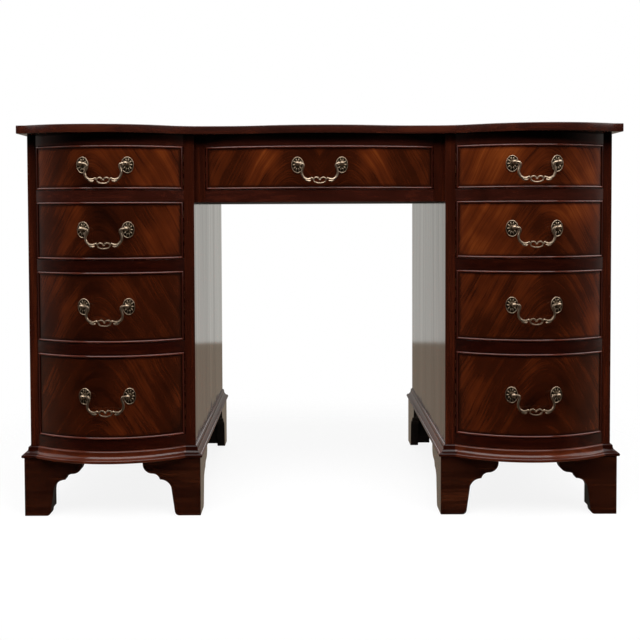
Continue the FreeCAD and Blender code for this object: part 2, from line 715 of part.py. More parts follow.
def bail(name):
    """A swan-neck bail about its pivot line: two wire arms, mirrored, and an oval ring between them."""
    neck_z = "-bail_neck_radius"
    ring_radius = "ring_height / 2"
    ring_end = "ring_width / 2"
    curl_x = "(bail_half_width - bail_curl_radius)"
    curl_z = "(bail_curl_radius - bail_drop)"
    gap_x = f"({curl_x} - bail_neck_half_width)"
    gap_z = f"({curl_z} + bail_neck_radius)"
    radii = "(bail_neck_radius + bail_curl_radius)"
    square = f"({gap_x}^2 + {gap_z}^2)"
    straight = f"sqrt({square} - {radii}^2)"
    across_x = f"(({gap_x} * {radii} + {gap_z} * {straight}) / {square})"
    across_z = f"(({gap_z} * {radii} - {gap_x} * {straight}) / {square})"
    pull = doc.addObject("PartDesign::Body", name)
    route = new_sketch(pull, "XZ_Plane")
    draw(route, [
        ("handle_spacing / 2", "0"),
        ("bail_neck_half_width", "0", "bail_neck_radius", 1),
        (f"bail_neck_half_width + bail_neck_radius * {across_x}", f"{neck_z} + bail_neck_radius * {across_z}"),
        (f"{curl_x} - bail_curl_radius * {across_x}", f"{curl_z} - bail_curl_radius * {across_z}",
         "bail_curl_radius", -1),
        (curl_x, "-bail_drop"),
        (ring_end, "-bail_drop"),
    ], closed=False)
    wire = new_sketch(pull, "YZ_Plane", "handle_spacing / 2")
    wire.addGeometry(Part.Circle(Vector(), Vector(0, 0, 1), value("bail_wire_radius")), False)
    constrain(wire, "DistanceX", (0, 3), "0")
    constrain(wire, "DistanceY", (0, 3), "0")
    constrain(wire, "Radius", (0,), "bail_wire_radius")
    arm = pull.newObject("PartDesign::AdditivePipe", "Arm")
    arm.Profile = wire
    arm.Spine = (route, [])
    both = pull.newObject("PartDesign::Mirrored", "BothArms")
    both.Originals = [arm]
    both.MirrorPlane = (next(f for f in pull.Origin.OriginFeatures if f.Role == "YZ_Plane"), [""])
    pull.Tip = both
    straight_x = f"({ring_end} - {ring_radius})"
    ring_top = f"({ring_radius} - bail_drop)"
    ring_bottom = f"(-{ring_radius} - bail_drop)"
    loop = new_sketch(pull, "XZ_Plane")
    draw(loop, [
        (straight_x, ring_bottom, ring_radius, 1),
        (ring_end, "-bail_drop", ring_radius, 1),
        (straight_x, ring_top),
        (f"-{straight_x}", ring_top, ring_radius, 1),
        (f"-{ring_end}", "-bail_drop", ring_radius, 1),
        (f"-{straight_x}", ring_bottom),
    ])
    ring_wire = new_sketch(pull, "YZ_Plane")
    ring_wire.addGeometry(Part.Circle(Vector(0, value(ring_bottom), 0), Vector(0, 0, 1),
                                      value("ring_wire_radius")), False)
    constrain(ring_wire, "DistanceX", (0, 3), "0")
    constrain(ring_wire, "DistanceY", (0, 3), ring_bottom)
    constrain(ring_wire, "Radius", (0,), "ring_wire_radius")
    ring = pull.newObject("PartDesign::AdditivePipe", "Ring")
    ring.Profile = ring_wire
    ring.Spine = (loop, [])
    return pull


def drawer(name, bow, x, setback, number):
    """One drawer with its handle, placed in the opening of that number."""
    height = f"drawer_{number}_height"
    half = f"({bow.half} - drawer_gap)"
    rise = "upper_handle_rise" if number == 1 else "handle_rise"
    post_z = f"({height} / 2 + {rise} + post_rise)"
    place = {"x": x, "y": setback, "z": f"{opening_z[number]} + drawer_gap"}
    node(f"{name}_front", drawer_front(name, bow, half, height, post_z), **place)
    node(f"{name}_box", drawer_box(name, bow, half, height, f"({drawer_back_y} - {setback})"), **place)
    node(f"{name}_rosettes", rosettes(name, bow, post_z), **place)
    pivot_y = f"{setback} + {bow.depth('0', 'handle_spacing / 2')} - post_length"
    pivot_z = f"{opening_z[number]} + drawer_gap + {post_z}"
    node(f"{name}_bail", [bail(f"{name}_pull")], x=x, y=pivot_y, z=pivot_z)


for hand, side in (("left", -1), ("right", 1)):
    for number in (1, 2, 3, 4):
        drawer(f"{hand}_drawer_{number}", pedestal_bow, times(side, opening_x), "0", number)
drawer("centre_drawer", centre_bow, "0", "centre_setback", 1)
doc.recompute()


# Each bead's nose is rounded along its outer and inner edges
def nose_edges(shape):
    """Names of the edges round the foremost bowed face."""
    bowed = [face for face in shape.Faces if isinstance(face.Surface, Part.Cylinder)]
    nose = max(bowed, key=lambda face: face.Surface.Radius)
    return [f"Edge{index}" for index, edge in enumerate(shape.Edges, start=1)
            if any(edge.isSame(other) for other in nose.Edges)]


for bead in beads:
    window = bead.Tip
    nose = bead.newObject("PartDesign::Fillet", "Nose")
    nose.Base = (window, nose_edges(window.Shape))
    bind(nose, Radius="bead_round")
doc.recompute()

# Every feature must have worked before anything is written
for thing in doc.Objects:
    if {"Invalid", "Error"} & set(thing.State):
        raise RuntimeError(f"{thing.Label} failed: {thing.State}")
for group in nodes:
    if group.Shape.isNull() or not group.Shape.isValid():
        raise RuntimeError(f"{group.Label} has no valid shape")

os.makedirs("parts", exist_ok=True)
for group in nodes:
    group.Shape.exportStep(f"parts/{group.Label}.step")
print(len(nodes), "sub-parts,", sum(len(group.Shape.Solids) for group in nodes), "solids")
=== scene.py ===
import math

import bmesh
import bpy
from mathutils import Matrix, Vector


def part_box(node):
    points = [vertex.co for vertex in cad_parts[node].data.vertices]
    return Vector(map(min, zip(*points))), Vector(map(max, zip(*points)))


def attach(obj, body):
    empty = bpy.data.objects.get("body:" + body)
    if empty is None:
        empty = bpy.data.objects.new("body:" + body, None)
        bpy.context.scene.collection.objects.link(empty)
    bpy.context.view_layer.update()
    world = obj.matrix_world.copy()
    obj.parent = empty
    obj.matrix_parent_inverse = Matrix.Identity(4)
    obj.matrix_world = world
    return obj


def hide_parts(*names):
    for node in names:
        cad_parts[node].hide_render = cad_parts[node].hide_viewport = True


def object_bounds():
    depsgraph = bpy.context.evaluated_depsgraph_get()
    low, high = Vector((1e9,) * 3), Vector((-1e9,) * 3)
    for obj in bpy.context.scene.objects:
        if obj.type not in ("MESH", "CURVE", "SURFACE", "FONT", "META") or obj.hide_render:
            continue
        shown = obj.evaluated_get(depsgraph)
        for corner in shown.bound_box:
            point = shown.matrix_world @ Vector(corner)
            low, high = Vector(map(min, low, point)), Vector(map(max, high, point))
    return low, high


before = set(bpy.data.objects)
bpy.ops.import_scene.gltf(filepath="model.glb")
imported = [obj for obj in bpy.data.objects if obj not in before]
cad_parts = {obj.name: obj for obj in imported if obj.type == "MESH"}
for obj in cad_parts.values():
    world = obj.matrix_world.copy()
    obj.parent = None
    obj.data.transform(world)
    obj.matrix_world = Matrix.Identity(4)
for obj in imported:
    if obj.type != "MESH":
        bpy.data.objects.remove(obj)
cad_low, cad_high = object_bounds()


# Pedestal sides: flat mahogany boards with upright grain, stained dark and lacquered to a mirror gloss.
# Each one is glued behind its front stile and carries the drawer runners on its inner face.
mahogany_stain = [
    (0.30, (0.010, 0.0020, 0.0010)),
    (0.52, (0.031, 0.0054, 0.0022)),
    (0.75, (0.076, 0.0145, 0.0046)),
]
mirror_polish = 0.07
grain_depth = 0.0003
# Painted shade under the top's overhang: how far below the top it stays full, where it fades out, and how
# dark it gets
overhang_shade_band = 0.009
overhang_shade_fade = 0.028
overhang_shade_level = 0.08
sharp_edge = math.radians(28)
arris = 0.0008
hands = ("left", "right")


def plug(tree, node, sockets):
    """Fill a node's sockets; each takes a number, a colour or another node's output."""
    for socket, source in sockets.items():
        if isinstance(source, bpy.types.NodeSocket):
            tree.links.new(source, node.inputs[socket])
        else:
            node.inputs[socket].default_value = source


def add_node(tree, kind, sockets=None, output=0, **settings):
    """Add a node with its settings and sockets, and give one of its outputs."""
    made = tree.nodes.new(kind)
    for name, setting in settings.items():
        setattr(made, name, setting)
    plug(tree, made, sockets or {})
    return made.outputs[output]


def maths(tree, operation, *values):
    return add_node(tree, "ShaderNodeMath", dict(enumerate(values)), operation=operation)


def blend(tree, *shares):
    """The sum of several outputs, each times its share."""
    total = 0.0
    for source, share in shares:
        total = maths(tree, "MULTIPLY_ADD", source, share, total)
    return total


def fade(tree, value, start, finish, low, high, kind="SMOOTHSTEP"):
    """A change from low to high while a value goes from start to finish."""
    return add_node(tree, "ShaderNodeMapRange", {
        "Value": value, "From Min": start, "From Max": finish, "To Min": low, "To Max": high,
    }, interpolation_type=kind)


def object_place(tree):
    return add_node(tree, "ShaderNodeTexCoord", output="Object")


def coordinate(tree, place, axis):
    return add_node(tree, "ShaderNodeSeparateXYZ", {0: place}, output=axis)


def noise(tree, place, scale, detail=2.0, roughness=0.5):
    """Noise stretched by a scale for each axis."""
    stretched = add_node(tree, "ShaderNodeMapping", {"Vector": place, "Scale": scale})
    return add_node(tree, "ShaderNodeTexNoise",
                    {"Vector": stretched, "Scale": 1.0, "Detail": detail, "Roughness": roughness})


def stretch(along, across, length):
    """Noise scales of a grain that runs along one axis."""
    return [length if axis == along else across for axis in "xyz"]


def ramp(tree, factor, stops):
    """Colours by their place along a factor from 0 to 1."""
    made = tree.nodes.new("ShaderNodeValToRGB")
    tree.links.new(factor, made.inputs[0])
    elements = made.color_ramp.elements
    while len(elements) < len(stops):
        elements.new(1.0)
    for element, (position, colour) in zip(elements, stops):
        element.position = position
        element.color = (*colour, 1.0)
    return made.outputs[0]


def texture(tree, height, strength, depth):
    """A shallow relief in the surface."""
    return add_node(tree, "ShaderNodeBump", {"Height": height, "Strength": strength, "Distance": depth})


def new_finish(name):
    finish = bpy.data.materials.new(name)
    finish.use_nodes = True
    return finish, finish.node_tree


def set_shader(tree, sockets):
    plug(tree, tree.nodes["Principled BSDF"], sockets)


def lacquer(tree, colour, grain, depth, polish, film=1.0):
    """Close a wood finish with a film of lacquer; the grain shows through it as a shallow texture."""
    open_grain = texture(tree, grain, 0.25, depth)
    set_shader(tree, {
        "Base Color": colour, "Roughness": 0.5, "Specular IOR Level": 0.0, "Normal": open_grain,
        "Coat Weight": film, "Coat Roughness": polish, "Coat IOR": 1.5, "Coat Normal": open_grain,
    })


def mahogany(name, along, stain, polish=mirror_polish, warp=2.0, film=1.0, overhang_shade_z=None):
    """Straight-grained mahogany: fibres and ribbon figure stretched along one axis, with fine pores.

    The polished surface follows the fibres and, by warp, the slow waves of a planed board.
    Painted shade darkens the colour, nearly black, a little below a given height, under the top's overhang."""
    finish, tree = new_finish(name)
    place = object_place(tree)
    fibre = noise(tree, place, stretch(along, 120.0, 5.0), 5.0, 0.6)
    ribbon = noise(tree, place, stretch(along, 24.0, 1.6))
    pores = noise(tree, place, stretch(along, 900.0, 40.0))
    waves = noise(tree, place, stretch(along, 11.0, 0.7))
    colour = ramp(tree, blend(tree, (fibre, 0.55), (ribbon, 0.30), (pores, 0.15)), stain)
    # Painted shade: the colour is darkened nearly to black just under the top's overhang.
    if overhang_shade_z:
        height = coordinate(tree, place, "Z")
        overhang_shade = fade(tree, height, overhang_shade_z - overhang_shade_fade, overhang_shade_z - overhang_shade_band, 1.0, overhang_shade_level)
        colour = add_node(tree, "ShaderNodeVectorMath", {0: colour, "Scale": overhang_shade}, operation="SCALE")
    lacquer(tree, colour, maths(tree, "MULTIPLY_ADD", waves, warp, fibre), grain_depth, polish, film)
    return finish


def block(low, high):
    """A squared block between two corners."""
    points = [(x, y, z) for z in (low[2], high[2]) for y in (low[1], high[1]) for x in (low[0], high[0])]
    faces = [(0, 1, 3, 2), (4, 5, 7, 6), (0, 1, 5, 4), (2, 3, 7, 6), (0, 2, 6, 4), (1, 3, 7, 5)]
    return points, faces


def joined(shapes):
    """Several shapes as one list of points and one of faces."""
    points = []
    faces = []
    for more_points, more_faces in shapes:
        start = len(points)
        points += more_points
        faces += [[start + corner for corner in face] for face in more_faces]
    return points, faces


def smooth_mesh(name, shape):
    """A smooth mesh of points and faces, with the faces turned outwards."""
    points, faces = shape
    mesh = bpy.data.meshes.new(name)
    mesh.from_pydata(points, [], faces)
    shell = bmesh.new()
    shell.from_mesh(mesh)
    bmesh.ops.recalc_face_normals(shell, faces=shell.faces)
    shell.to_mesh(mesh)
    shell.free()
    mesh.shade_smooth()
    return mesh


def show(name, data):
    """A new object in the scene."""
    made = bpy.data.objects.new(name, data)
    bpy.context.scene.collection.objects.link(made)
    return made


def settle(made, body, stands_for=()):
    """Give a finished piece the body that it rides, and hide the nodes that it stands for."""
    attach(made, body)
    if stands_for:
        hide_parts(*stands_for)
    return made


def piece(name, shape, finishes, body="desk", stands_for=(), ease=0.0):
    """A finished piece in its place: mesh, finishes, eased edges, body and the nodes it stands for."""
    mesh = smooth_mesh(name, shape)
    mesh.set_sharp_from_angle(angle=sharp_edge)
    for finish in finishes:
        mesh.materials.append(finish)
    made = show(name, mesh)
    if ease:
        eased = made.modifiers.new("eased edges", "BEVEL")
        eased.width = ease
        eased.segments = 2
        eased.limit_method = "ANGLE"
        eased.angle_limit = sharp_edge
        eased.harden_normals = True
    return settle(made, body, stands_for)


panel_mahogany = mahogany("panel_mahogany", "z", mahogany_stain, warp=30.0)
for hand in hands:
    for wall in ("outer", "inner"):
        side_node = f"{hand}_pedestal_{wall}_side"
        piece(f"{hand}_{wall}_side_board", block(*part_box(side_node)), [panel_mahogany],
              stands_for=[side_node], ease=arris)


# Stiles: two upright mahogany lippings that close the front edges of each pedestal's sides.
# They are sawn from the solid, glued on and polished with the sides, with a faint joint line between.
stile_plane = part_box("left_pedestal_stiles")[0].y
carcass_low_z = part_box("left_pedestal_stiles")[0].z
carcass_high_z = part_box("left_pedestal_stiles")[1].z
# The stiles, the backs and the frieze carry the painted shade under the top.
upright_mahogany = mahogany("upright_mahogany", "z", mahogany_stain, overhang_shade_z=carcass_high_z)
for hand in hands:
    stile_low, stile_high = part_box(f"{hand}_pedestal_stiles")
    stile_boards = []
    for wall in ("outer", "inner"):
        side_low, side_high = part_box(f"{hand}_pedestal_{wall}_side")
        stile_boards.append(block((side_low.x, stile_low.y, stile_low.z),
                                  (side_high.x, stile_high.y, stile_high.z)))
    piece(f"{hand}_front_stiles", joined(stile_boards), [upright_mahogany],
          stands_for=[f"{hand}_pedestal_stiles"], ease=arris)


# Front rails: five bowed mahogany bars that frame the drawer openings of each pedestal.
# They are bandsawn to the bow, tenoned between the stiles, painted darker towards the floor as shade,
# and carry two small drawer stops each.
drawer_gap = 0.001
front_thickness = 0.020
stop_size = Vector((0.020, 0.022, 0.005))
stop_spacing = 0.120
stop_gap = 0.0005
rail_stain = [
    (0.30, (0.013, 0.0028, 0.0016)),
    (0.52, (0.030, 0.0058, 0.0032)),
    (0.75, (0.066, 0.0130, 0.0058)),
]
# Painted shade: darker tones for the rails low on each pedestal and for the moulding's short ends.
darker_shade_tones = [
    (0.30, (0.006, 0.0011, 0.0005)),
    (0.52, (0.016, 0.0024, 0.0010)),
    (0.75, (0.040, 0.0066, 0.0023)),
]


class Bow:
    """A bowed front in plan: an arc that bulges towards -Y over a chord along X."""

    samples = 49

    def __init__(self, middle, plane, half, rise):
        self.middle = middle
        self.half = half
        self.radius = (half ** 2 + rise ** 2) / (2 * rise)
        self.centre = plane + self.radius - rise

    def y(self, x, offset=0.0):
        """Y of the arc that lies offset in front of the face, x away from the middle."""
        return self.centre - math.sqrt((self.radius + offset) ** 2 - x ** 2)

    def spread(self, half):
        """Even steps across the bow, from -half to half."""
        return [half * (2 * step / (self.samples - 1) - 1) for step in range(self.samples)]


def skin(loops, ends="strips"):
    """Walls between loops of equal length. The ends are strips, plain faces, or joined into a ring."""
    count = len(loops[0])
    points = [point for loop in loops for point in loop]
    faces = []
    for row in range(len(loops) - (ends != "joined")):
        here = row * count
        there = (row + 1) % len(loops) * count
        for step in range(count):
            after = (step + 1) % count
            faces.append((here + step, here + after, there + after, there + step))
    for start in (0, len(points) - count):
        if ends == "plain":
            faces.append(tuple(range(start, start + count)))
        if ends == "strips":
            for step in range(count // 2 - 1):
                far = start + count - 1 - step
                faces.append((start + step, start + step + 1, far - 1, far))
    return points, faces


def bowed_rail(bow, back_y, low_z, high_z):
    """A rail with a bowed face and a straight back."""
    across = bow.spread(bow.half)

    def plan(z):
        front = [(bow.middle + x, bow.y(x), z) for x in across]
        back = [(bow.middle + x, back_y, z) for x in reversed(across)]
        return front + back

    return skin([plan(low_z), plan(high_z)])


def drawer_openings(hand):
    """Heights of the drawer openings, from the bottom one up."""
    fronts = [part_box(f"{hand}_drawer_{number}_front") for number in (4, 3, 2, 1)]
    return [(low.z - drawer_gap, high.z + drawer_gap) for low, high in fronts]


# The rails carry the painted shade under the top.
rail_mahogany = mahogany("rail_mahogany", "x", rail_stain, overhang_shade_z=carcass_high_z)
lower_rail_mahogany = mahogany("lower_rail_mahogany", "x", darker_shade_tones)
pedestal_bows = {}
for hand in hands:
    rails_low, rails_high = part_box(f"{hand}_pedestal_rails")
    bow = Bow((rails_low.x + rails_high.x) / 2, stile_plane, (rails_high.x - rails_low.x) / 2,
              stile_plane - rails_low.y)
    pedestal_bows[hand] = bow
    openings = drawer_openings(hand)
    rail_ends = [carcass_low_z] + [height for opening in openings for height in opening] + [carcass_high_z]
    rail_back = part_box(f"{hand}_pedestal_bottom")[0].y
    rail_bars = [bowed_rail(bow, rail_back, low_z, high_z)
                 for low_z, high_z in zip(rail_ends[::2], rail_ends[1::2])]
    stop_y = bow.y((stop_spacing + stop_size.x) / 2, -front_thickness) + stop_gap
    for low_z, high_z in openings:
        for end in (-1, 1):
            stop_corner = Vector((bow.middle + end * stop_spacing / 2 - stop_size.x / 2, stop_y, low_z))
            rail_bars.append(block(stop_corner, stop_corner + stop_size))
    rails = piece(f"{hand}_front_rails", joined(rail_bars), [rail_mahogany, lower_rail_mahogany],
                  stands_for=[f"{hand}_pedestal_rails"], ease=arris / 2)
    # Rails below the second drawer take the darker tones, as painted shade.
    second_drawer_z = openings[2][0]
    for face in rails.data.polygons:
        face.material_index = int(face.center.z < second_drawer_z)


# Inner timber: bottoms, runners, kickers, dust board and guides, of planed secondary wood.
# It is glued and nailed inside the carcass, bare where it is hidden and painted nearly black underneath as
# shade;
# the backs are thin panels polished like the sides.
timber_tones = [
    (0.25, (0.085, 0.036, 0.014)),
    (0.50, (0.155, 0.072, 0.030)),
    (0.78, (0.230, 0.120, 0.056)),
]
# Painted shade: nearly black timber for undersides, the hidden faces of the feet and the glue blocks.
shade_painted_tones = [
    (0.25, (0.0030, 0.0012, 0.0007)),
    (0.50, (0.0060, 0.0022, 0.0012)),
    (0.78, (0.0110, 0.0042, 0.0021)),
]


def bare_timber(name, along, tones, roughness):
    """Unpolished wood with growth bands and fibres."""
    finish, tree = new_finish(name)
    place = object_place(tree)
    bands = noise(tree, place, stretch(along, 34.0, 1.2), 3.0)
    fibre = noise(tree, place, stretch(along, 420.0, 14.0), 3.0, 0.6)
    set_shader(tree, {
        "Base Color": ramp(tree, blend(tree, (bands, 0.6), (fibre, 0.4)), tones),
        "Normal": texture(tree, fibre, 0.35, 0.0004),
        "Roughness": roughness,
        "Specular IOR Level": 0.3,
    })
    return finish


def refinish(node, finish):
    """Give a CAD node that stays in view its finish."""
    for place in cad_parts[node].material_slots:
        place.material = finish


shade_painted_timber = bare_timber("shade_painted_timber", "x", shade_painted_tones, roughness=0.75)
timber_front_to_back = bare_timber("timber_front_to_back", "y", timber_tones, roughness=0.62)
for hand in hands:
    refinish(f"{hand}_pedestal_back", upright_mahogany)
    refinish(f"{hand}_pedestal_bottom", shade_painted_timber)
    refinish(f"{hand}_pedestal_runners", timber_front_to_back)
refinish("kneehole_dust_board", shade_painted_timber)
refinish("centre_drawer_runners", timber_front_to_back)


# Base moulding: a rounded shoulder over a cove that flares out to a half-round torus, in solid mahogany.
# Mitred lengths are glued down both sides, across the stiles and round the bow of each pedestal;
# the short ones across the stiles are painted darker as shade, with a thinner, duller film.
moulding_projection = 0.015
torus_radius = 0.004
quirk = 0.001
shoulder_radius = 0.004
round_steps = 8
cove_steps = 14
satin_polish = 0.12
worn_film = 0.50
dulled_film = 0.32
moulding_stain = [
    (0.30, (0.018, 0.0036, 0.0016)),
    (0.52, (0.052, 0.0090, 0.0030)),
    (0.75, (0.118, 0.0230, 0.0066)),
]


def arc(start, finish, radius, turn, steps):
    """Points along the lesser arc from start up to finish; turn is +1 counter-clockwise and -1 clockwise."""
    start, finish = Vector(start), Vector(finish)
    chord = finish - start
    rise = math.sqrt(max(radius ** 2 - chord.length_squared / 4, 0.0))
    centre = (start + finish) / 2 + Vector((-chord.y, chord.x)).normalized() * rise * turn
    first = start - centre
    sweep = turn * 2 * math.asin(min(chord.length / (2 * radius), 1.0))
    points = []
    for step in range(steps):
        angle = sweep * step / steps
        points.append((centre.x + first.x * math.cos(angle) - first.y * math.sin(angle),
                       centre.y + first.x * math.sin(angle) + first.y * math.cos(angle)))
    return points


def moulding_section(height):
    """Corners of the section as stand-out and height: foot, torus, quirk, cove, shoulder and back."""
    torus_x = moulding_projection - torus_radius
    torus_tip = (moulding_projection, torus_radius)
    torus_high = (torus_x, 2 * torus_radius)
    cove_low = (torus_x - quirk, 2 * torus_radius)
    cove_high = (shoulder_radius, height - shoulder_radius)
    run = cove_low[0] - cove_high[0]
    fall = cove_high[1] - cove_low[1]
    section = [(0.0, 0.0)]
    section += arc((torus_x, 0.0), torus_tip, torus_radius, 1, round_steps)
    section += arc(torus_tip, torus_high, torus_radius, 1, round_steps) + [torus_high]
    section += arc(cove_low, cove_high, (run ** 2 + fall ** 2) / (2 * run), -1, cove_steps)
    section += arc(cove_high, (0.0, height), shoulder_radius, 1, round_steps)
    section.append((0.0, height))
    return section


def swept(path, section, base_z):
    """A section swept along a plan path with mitred corners; it stands out to the left of the path."""
    runs = [(path[step + 1] - path[step]).normalized() for step in range(len(path) - 1)]
    normals = [Vector((-run.y, run.x)) for run in runs]
    loops = []
    for step, point in enumerate(path):
        before = normals[max(step - 1, 0)]
        after = normals[min(step, len(normals) - 1)]
        mitre = (before + after) / (1 + before.dot(after))
        loops.append([(*(point + mitre * out), base_z + up) for out, up in section])
    return skin(loops, ends="plain")


moulding_across = mahogany("moulding_across", "x", moulding_stain, satin_polish, film=worn_film)
moulding_lengthways = mahogany("moulding_lengthways", "y", moulding_stain, satin_polish, film=worn_film)
# Painted shade: the short lengths across the stiles take darker tones; their film is thinner.
moulding_ends_painted_shade = mahogany("moulding_ends_painted_shade", "x", darker_shade_tones, satin_polish, film=dulled_film)
for hand in hands:
    moulding_low, moulding_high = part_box(f"{hand}_base_moulding")
    walls = [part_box(f"{hand}_pedestal_outer_side"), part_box(f"{hand}_pedestal_inner_side")]
    left_x = min(low.x for low, high in walls)
    right_x = max(high.x for low, high in walls)
    bow = pedestal_bows[hand]
    route = [Vector((right_x, moulding_high.y)), Vector((right_x, stile_plane))]
    route += [Vector((bow.middle + x, bow.y(x))) for x in reversed(bow.spread(bow.half))]
    route += [Vector((left_x, stile_plane)), Vector((left_x, moulding_high.y))]
    moulding = piece(f"{hand}_coved_base_moulding",
                     swept(route, moulding_section(moulding_high.z - moulding_low.z), moulding_low.z),
                     [moulding_across, moulding_lengthways, moulding_ends_painted_shade],
                     stands_for=[f"{hand}_base_moulding"])
    for face in moulding.data.polygons:
        beyond_bow = abs(face.center.x - bow.middle) > bow.half
        face.material_index = 1 if face.center.y > stile_plane else 2 * int(beyond_bow)


# Bracket feet: two scrolled mahogany brackets mitred at the corner, with a rough glue block behind.
# The brackets are bandsawn with the grain lying flat, polished on the show face, painted nearly black
# as shade elsewhere, and glued up under the base moulding; the glue blocks are painted as shade too.
bracket_thickness = 0.020
foot_width = 0.053
foot_toe = 0.008
toe_radius = 0.0096
toe_steps = 5
foot_shoulder = Vector((0.060, 0.058))
scroll_cove = Vector((0.023, 0.016))
scroll_step = Vector((0.015, 0.012))
scroll_lobe = 0.020
scroll_steps = 10
block_width = 0.030
block_lift = 0.008
foot_stain = [
    (0.30, (0.006, 0.0014, 0.0007)),
    (0.50, (0.017, 0.0038, 0.0016)),
    (0.74, (0.062, 0.0150, 0.0050)),
]


def bracket_outline(start):
    """The scrolled outline of a bracket, as runs from the foot's corner and heights from the floor."""
    height = carcass_low_z
    cusp = foot_shoulder + scroll_cove
    lobe = cusp + scroll_step
    tip = lobe + Vector((scroll_lobe, scroll_lobe))
    cove_radius = scroll_cove.length_squared / (2 * scroll_cove.y)
    step_radius = scroll_step.length_squared / (2 * scroll_step.y)
    outline = [(start, 0.0), (foot_width - foot_toe, 0.0)]
    outline += arc((foot_width - foot_toe, 0.0), (foot_width, foot_toe), toe_radius, 1, toe_steps)[1:]
    outline.append((foot_width, foot_toe))
    outline += arc(foot_shoulder, cusp, cove_radius, -1, scroll_steps)
    outline += arc(cusp, lobe, step_radius, -1, round_steps)
    outline += arc(lobe, tip, scroll_lobe, 1, scroll_steps)
    return outline + [tuple(tip), (tip.x, height), (start, height)]


def bracket(corner, along, inward):
    """One bracket from a plan corner along a wall; its inner face starts at the mitre."""
    back = inward * bracket_thickness
    front_loop = [(*(corner + along * run), z) for run, z in bracket_outline(0.0)]
    back_loop = [(*(corner + back + along * run), z) for run, z in bracket_outline(bracket_thickness)]
    return skin([front_loop, back_loop], ends="plain")


foot_across = mahogany("foot_across", "x", foot_stain)
foot_lengthways = mahogany("foot_lengthways", "y", foot_stain)
for hand in hands:
    feet_low, feet_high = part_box(f"{hand}_bracket_feet")
    brackets = []
    glue_blocks = []
    for corner_x, inward_x in ((feet_low.x, 1), (feet_high.x, -1)):
        for corner_y, inward_y in ((feet_low.y, 1), (feet_high.y, -1)):
            corner = Vector((corner_x, corner_y))
            across = Vector((inward_x, 0.0))
            backward = Vector((0.0, inward_y))
            brackets.append(bracket(corner, across, backward))
            brackets.append(bracket(corner, backward, across))
            near = corner + (across + backward) * bracket_thickness
            far = near + (across + backward) * block_width
            glue_blocks.append(block((min(near.x, far.x), min(near.y, far.y), block_lift),
                                     (max(near.x, far.x), max(near.y, far.y), carcass_low_z)))
    feet = piece(f"{hand}_scrolled_feet", joined(brackets), [foot_across, foot_lengthways, shade_painted_timber],
                 stands_for=[f"{hand}_bracket_feet"], ease=arris)
    faces_per_bracket = len(brackets[0][1])
    show_face = faces_per_bracket - 2
    for face in feet.data.polygons:
        number, part = divmod(face.index, faces_per_bracket)
        # Faces other than the show face are painted nearly black as shade.
        face.material_index = number % 2 if part == show_face else 2
    piece(f"{hand}_foot_blocks", joined(glue_blocks), [shade_painted_timber],
          stands_for=[f"{hand}_bracket_feet"], ease=arris)


# Kneehole frieze: two short stiles and two bowed rails that hang the centre drawer between the pedestals.
# The rails are tenoned into the stiles; a plain rail closes the back.
centre_stile_width = 0.021
frieze_low, frieze_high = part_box("kneehole_frieze")
centre_setback_y = frieze_high.y - (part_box("left_pedestal_bottom")[0].y - stile_plane)
centre_bow = Bow(0.0, centre_setback_y, frieze_high.x - centre_stile_width, centre_setback_y - frieze_low.y)
centre_low, centre_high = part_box("centre_drawer_front")
frieze_rails = [
    bowed_rail(centre_bow, frieze_high.y, frieze_low.z, centre_low.z - drawer_gap),
    bowed_rail(centre_bow, frieze_high.y, centre_high.z + drawer_gap, frieze_high.z),
]
frieze_stiles = []
for end in (-1, 1):
    edges = sorted((end * frieze_high.x, end * centre_bow.half))
    frieze_stiles.append(block((edges[0], centre_setback_y, frieze_low.z),
                               (edges[1], frieze_high.y, frieze_high.z)))
frieze = piece("kneehole_frieze_frame", joined(frieze_rails + frieze_stiles),
               [rail_mahogany, upright_mahogany, shade_painted_timber],
               stands_for=["kneehole_frieze"], ease=arris / 2)
stile_faces = sum(len(faces) for points, faces in frieze_stiles)
for face in frieze.data.polygons:
    of_stile = int(face.index >= len(frieze.data.polygons) - stile_faces)
    # Faces that look down are painted nearly black as shade.
    face.material_index = 2 if face.normal.z < -0.5 else of_stile
refinish("kneehole_back_rail", rail_mahogany)


# Drawer fronts: bowed boards faced with flame mahogany, each from its own leaf of the same crotch.
# The plume stands upright and opens downwards; the centre drawer is book-matched on its middle line.
# Painted shade darkens the veneer along the beads.
bead_width = 0.004
bead_depth = 0.008
side_thickness = 0.009
flame_tones = [
    (0.00, (0.010, 0.0020, 0.0007)),
    (0.33, (0.034, 0.0060, 0.0016)),
    (0.56, (0.080, 0.0144, 0.0032)),
    (0.78, (0.150, 0.0320, 0.0061)),
    (1.00, (0.240, 0.0600, 0.0115)),
]
plume_spread = 1.9
plume_round = 0.045
plume_sway = 0.018
plume_lift = 0.022
figure_depth = 0.0002
heart_reach = 0.065
heart_depth = 0.16
flame_level = 0.715
# Painted shade along the beads: how far in it reaches and how dark it gets
bead_shade_reach = 0.008
bead_shade_depth = 0.45
# Each leaf: its seed, its tone, which also carries painted shade that darkens the lower drawers, how much it
# lightens to the right, and its plume's heart, right of the middle and above it
leaves = {
    "left_drawer_1": (0.31, 0.00, -0.02, -0.030, 0.030),
    "left_drawer_2": (0.47, -0.18, 0.08, -0.012, 0.010),
    "left_drawer_3": (0.62, -0.22, -0.03, -0.022, 0.012),
    "left_drawer_4": (0.91, -0.22, 0.02, -0.020, 0.000),
    "right_drawer_1": (1.13, 0.11, -0.05, 0.030, 0.030),
    "right_drawer_2": (1.29, -0.03, -0.03, 0.028, 0.010),
    "right_drawer_3": (1.44, -0.10, 0.01, 0.030, 0.012),
    "right_drawer_4": (1.58, -0.18, 0.00, 0.022, 0.000),
    "centre_drawer": (2.05, -0.13, -0.03, 0.055, 0.015),
}


def stored(tree, name):
    """A value that is stored on the mesh under a name."""
    return add_node(tree, "ShaderNodeAttribute", output="Fac", attribute_name=name)


def vector(tree, **axes):
    """A vector put together from values for its axes."""
    return add_node(tree, "ShaderNodeCombineXYZ", axes)


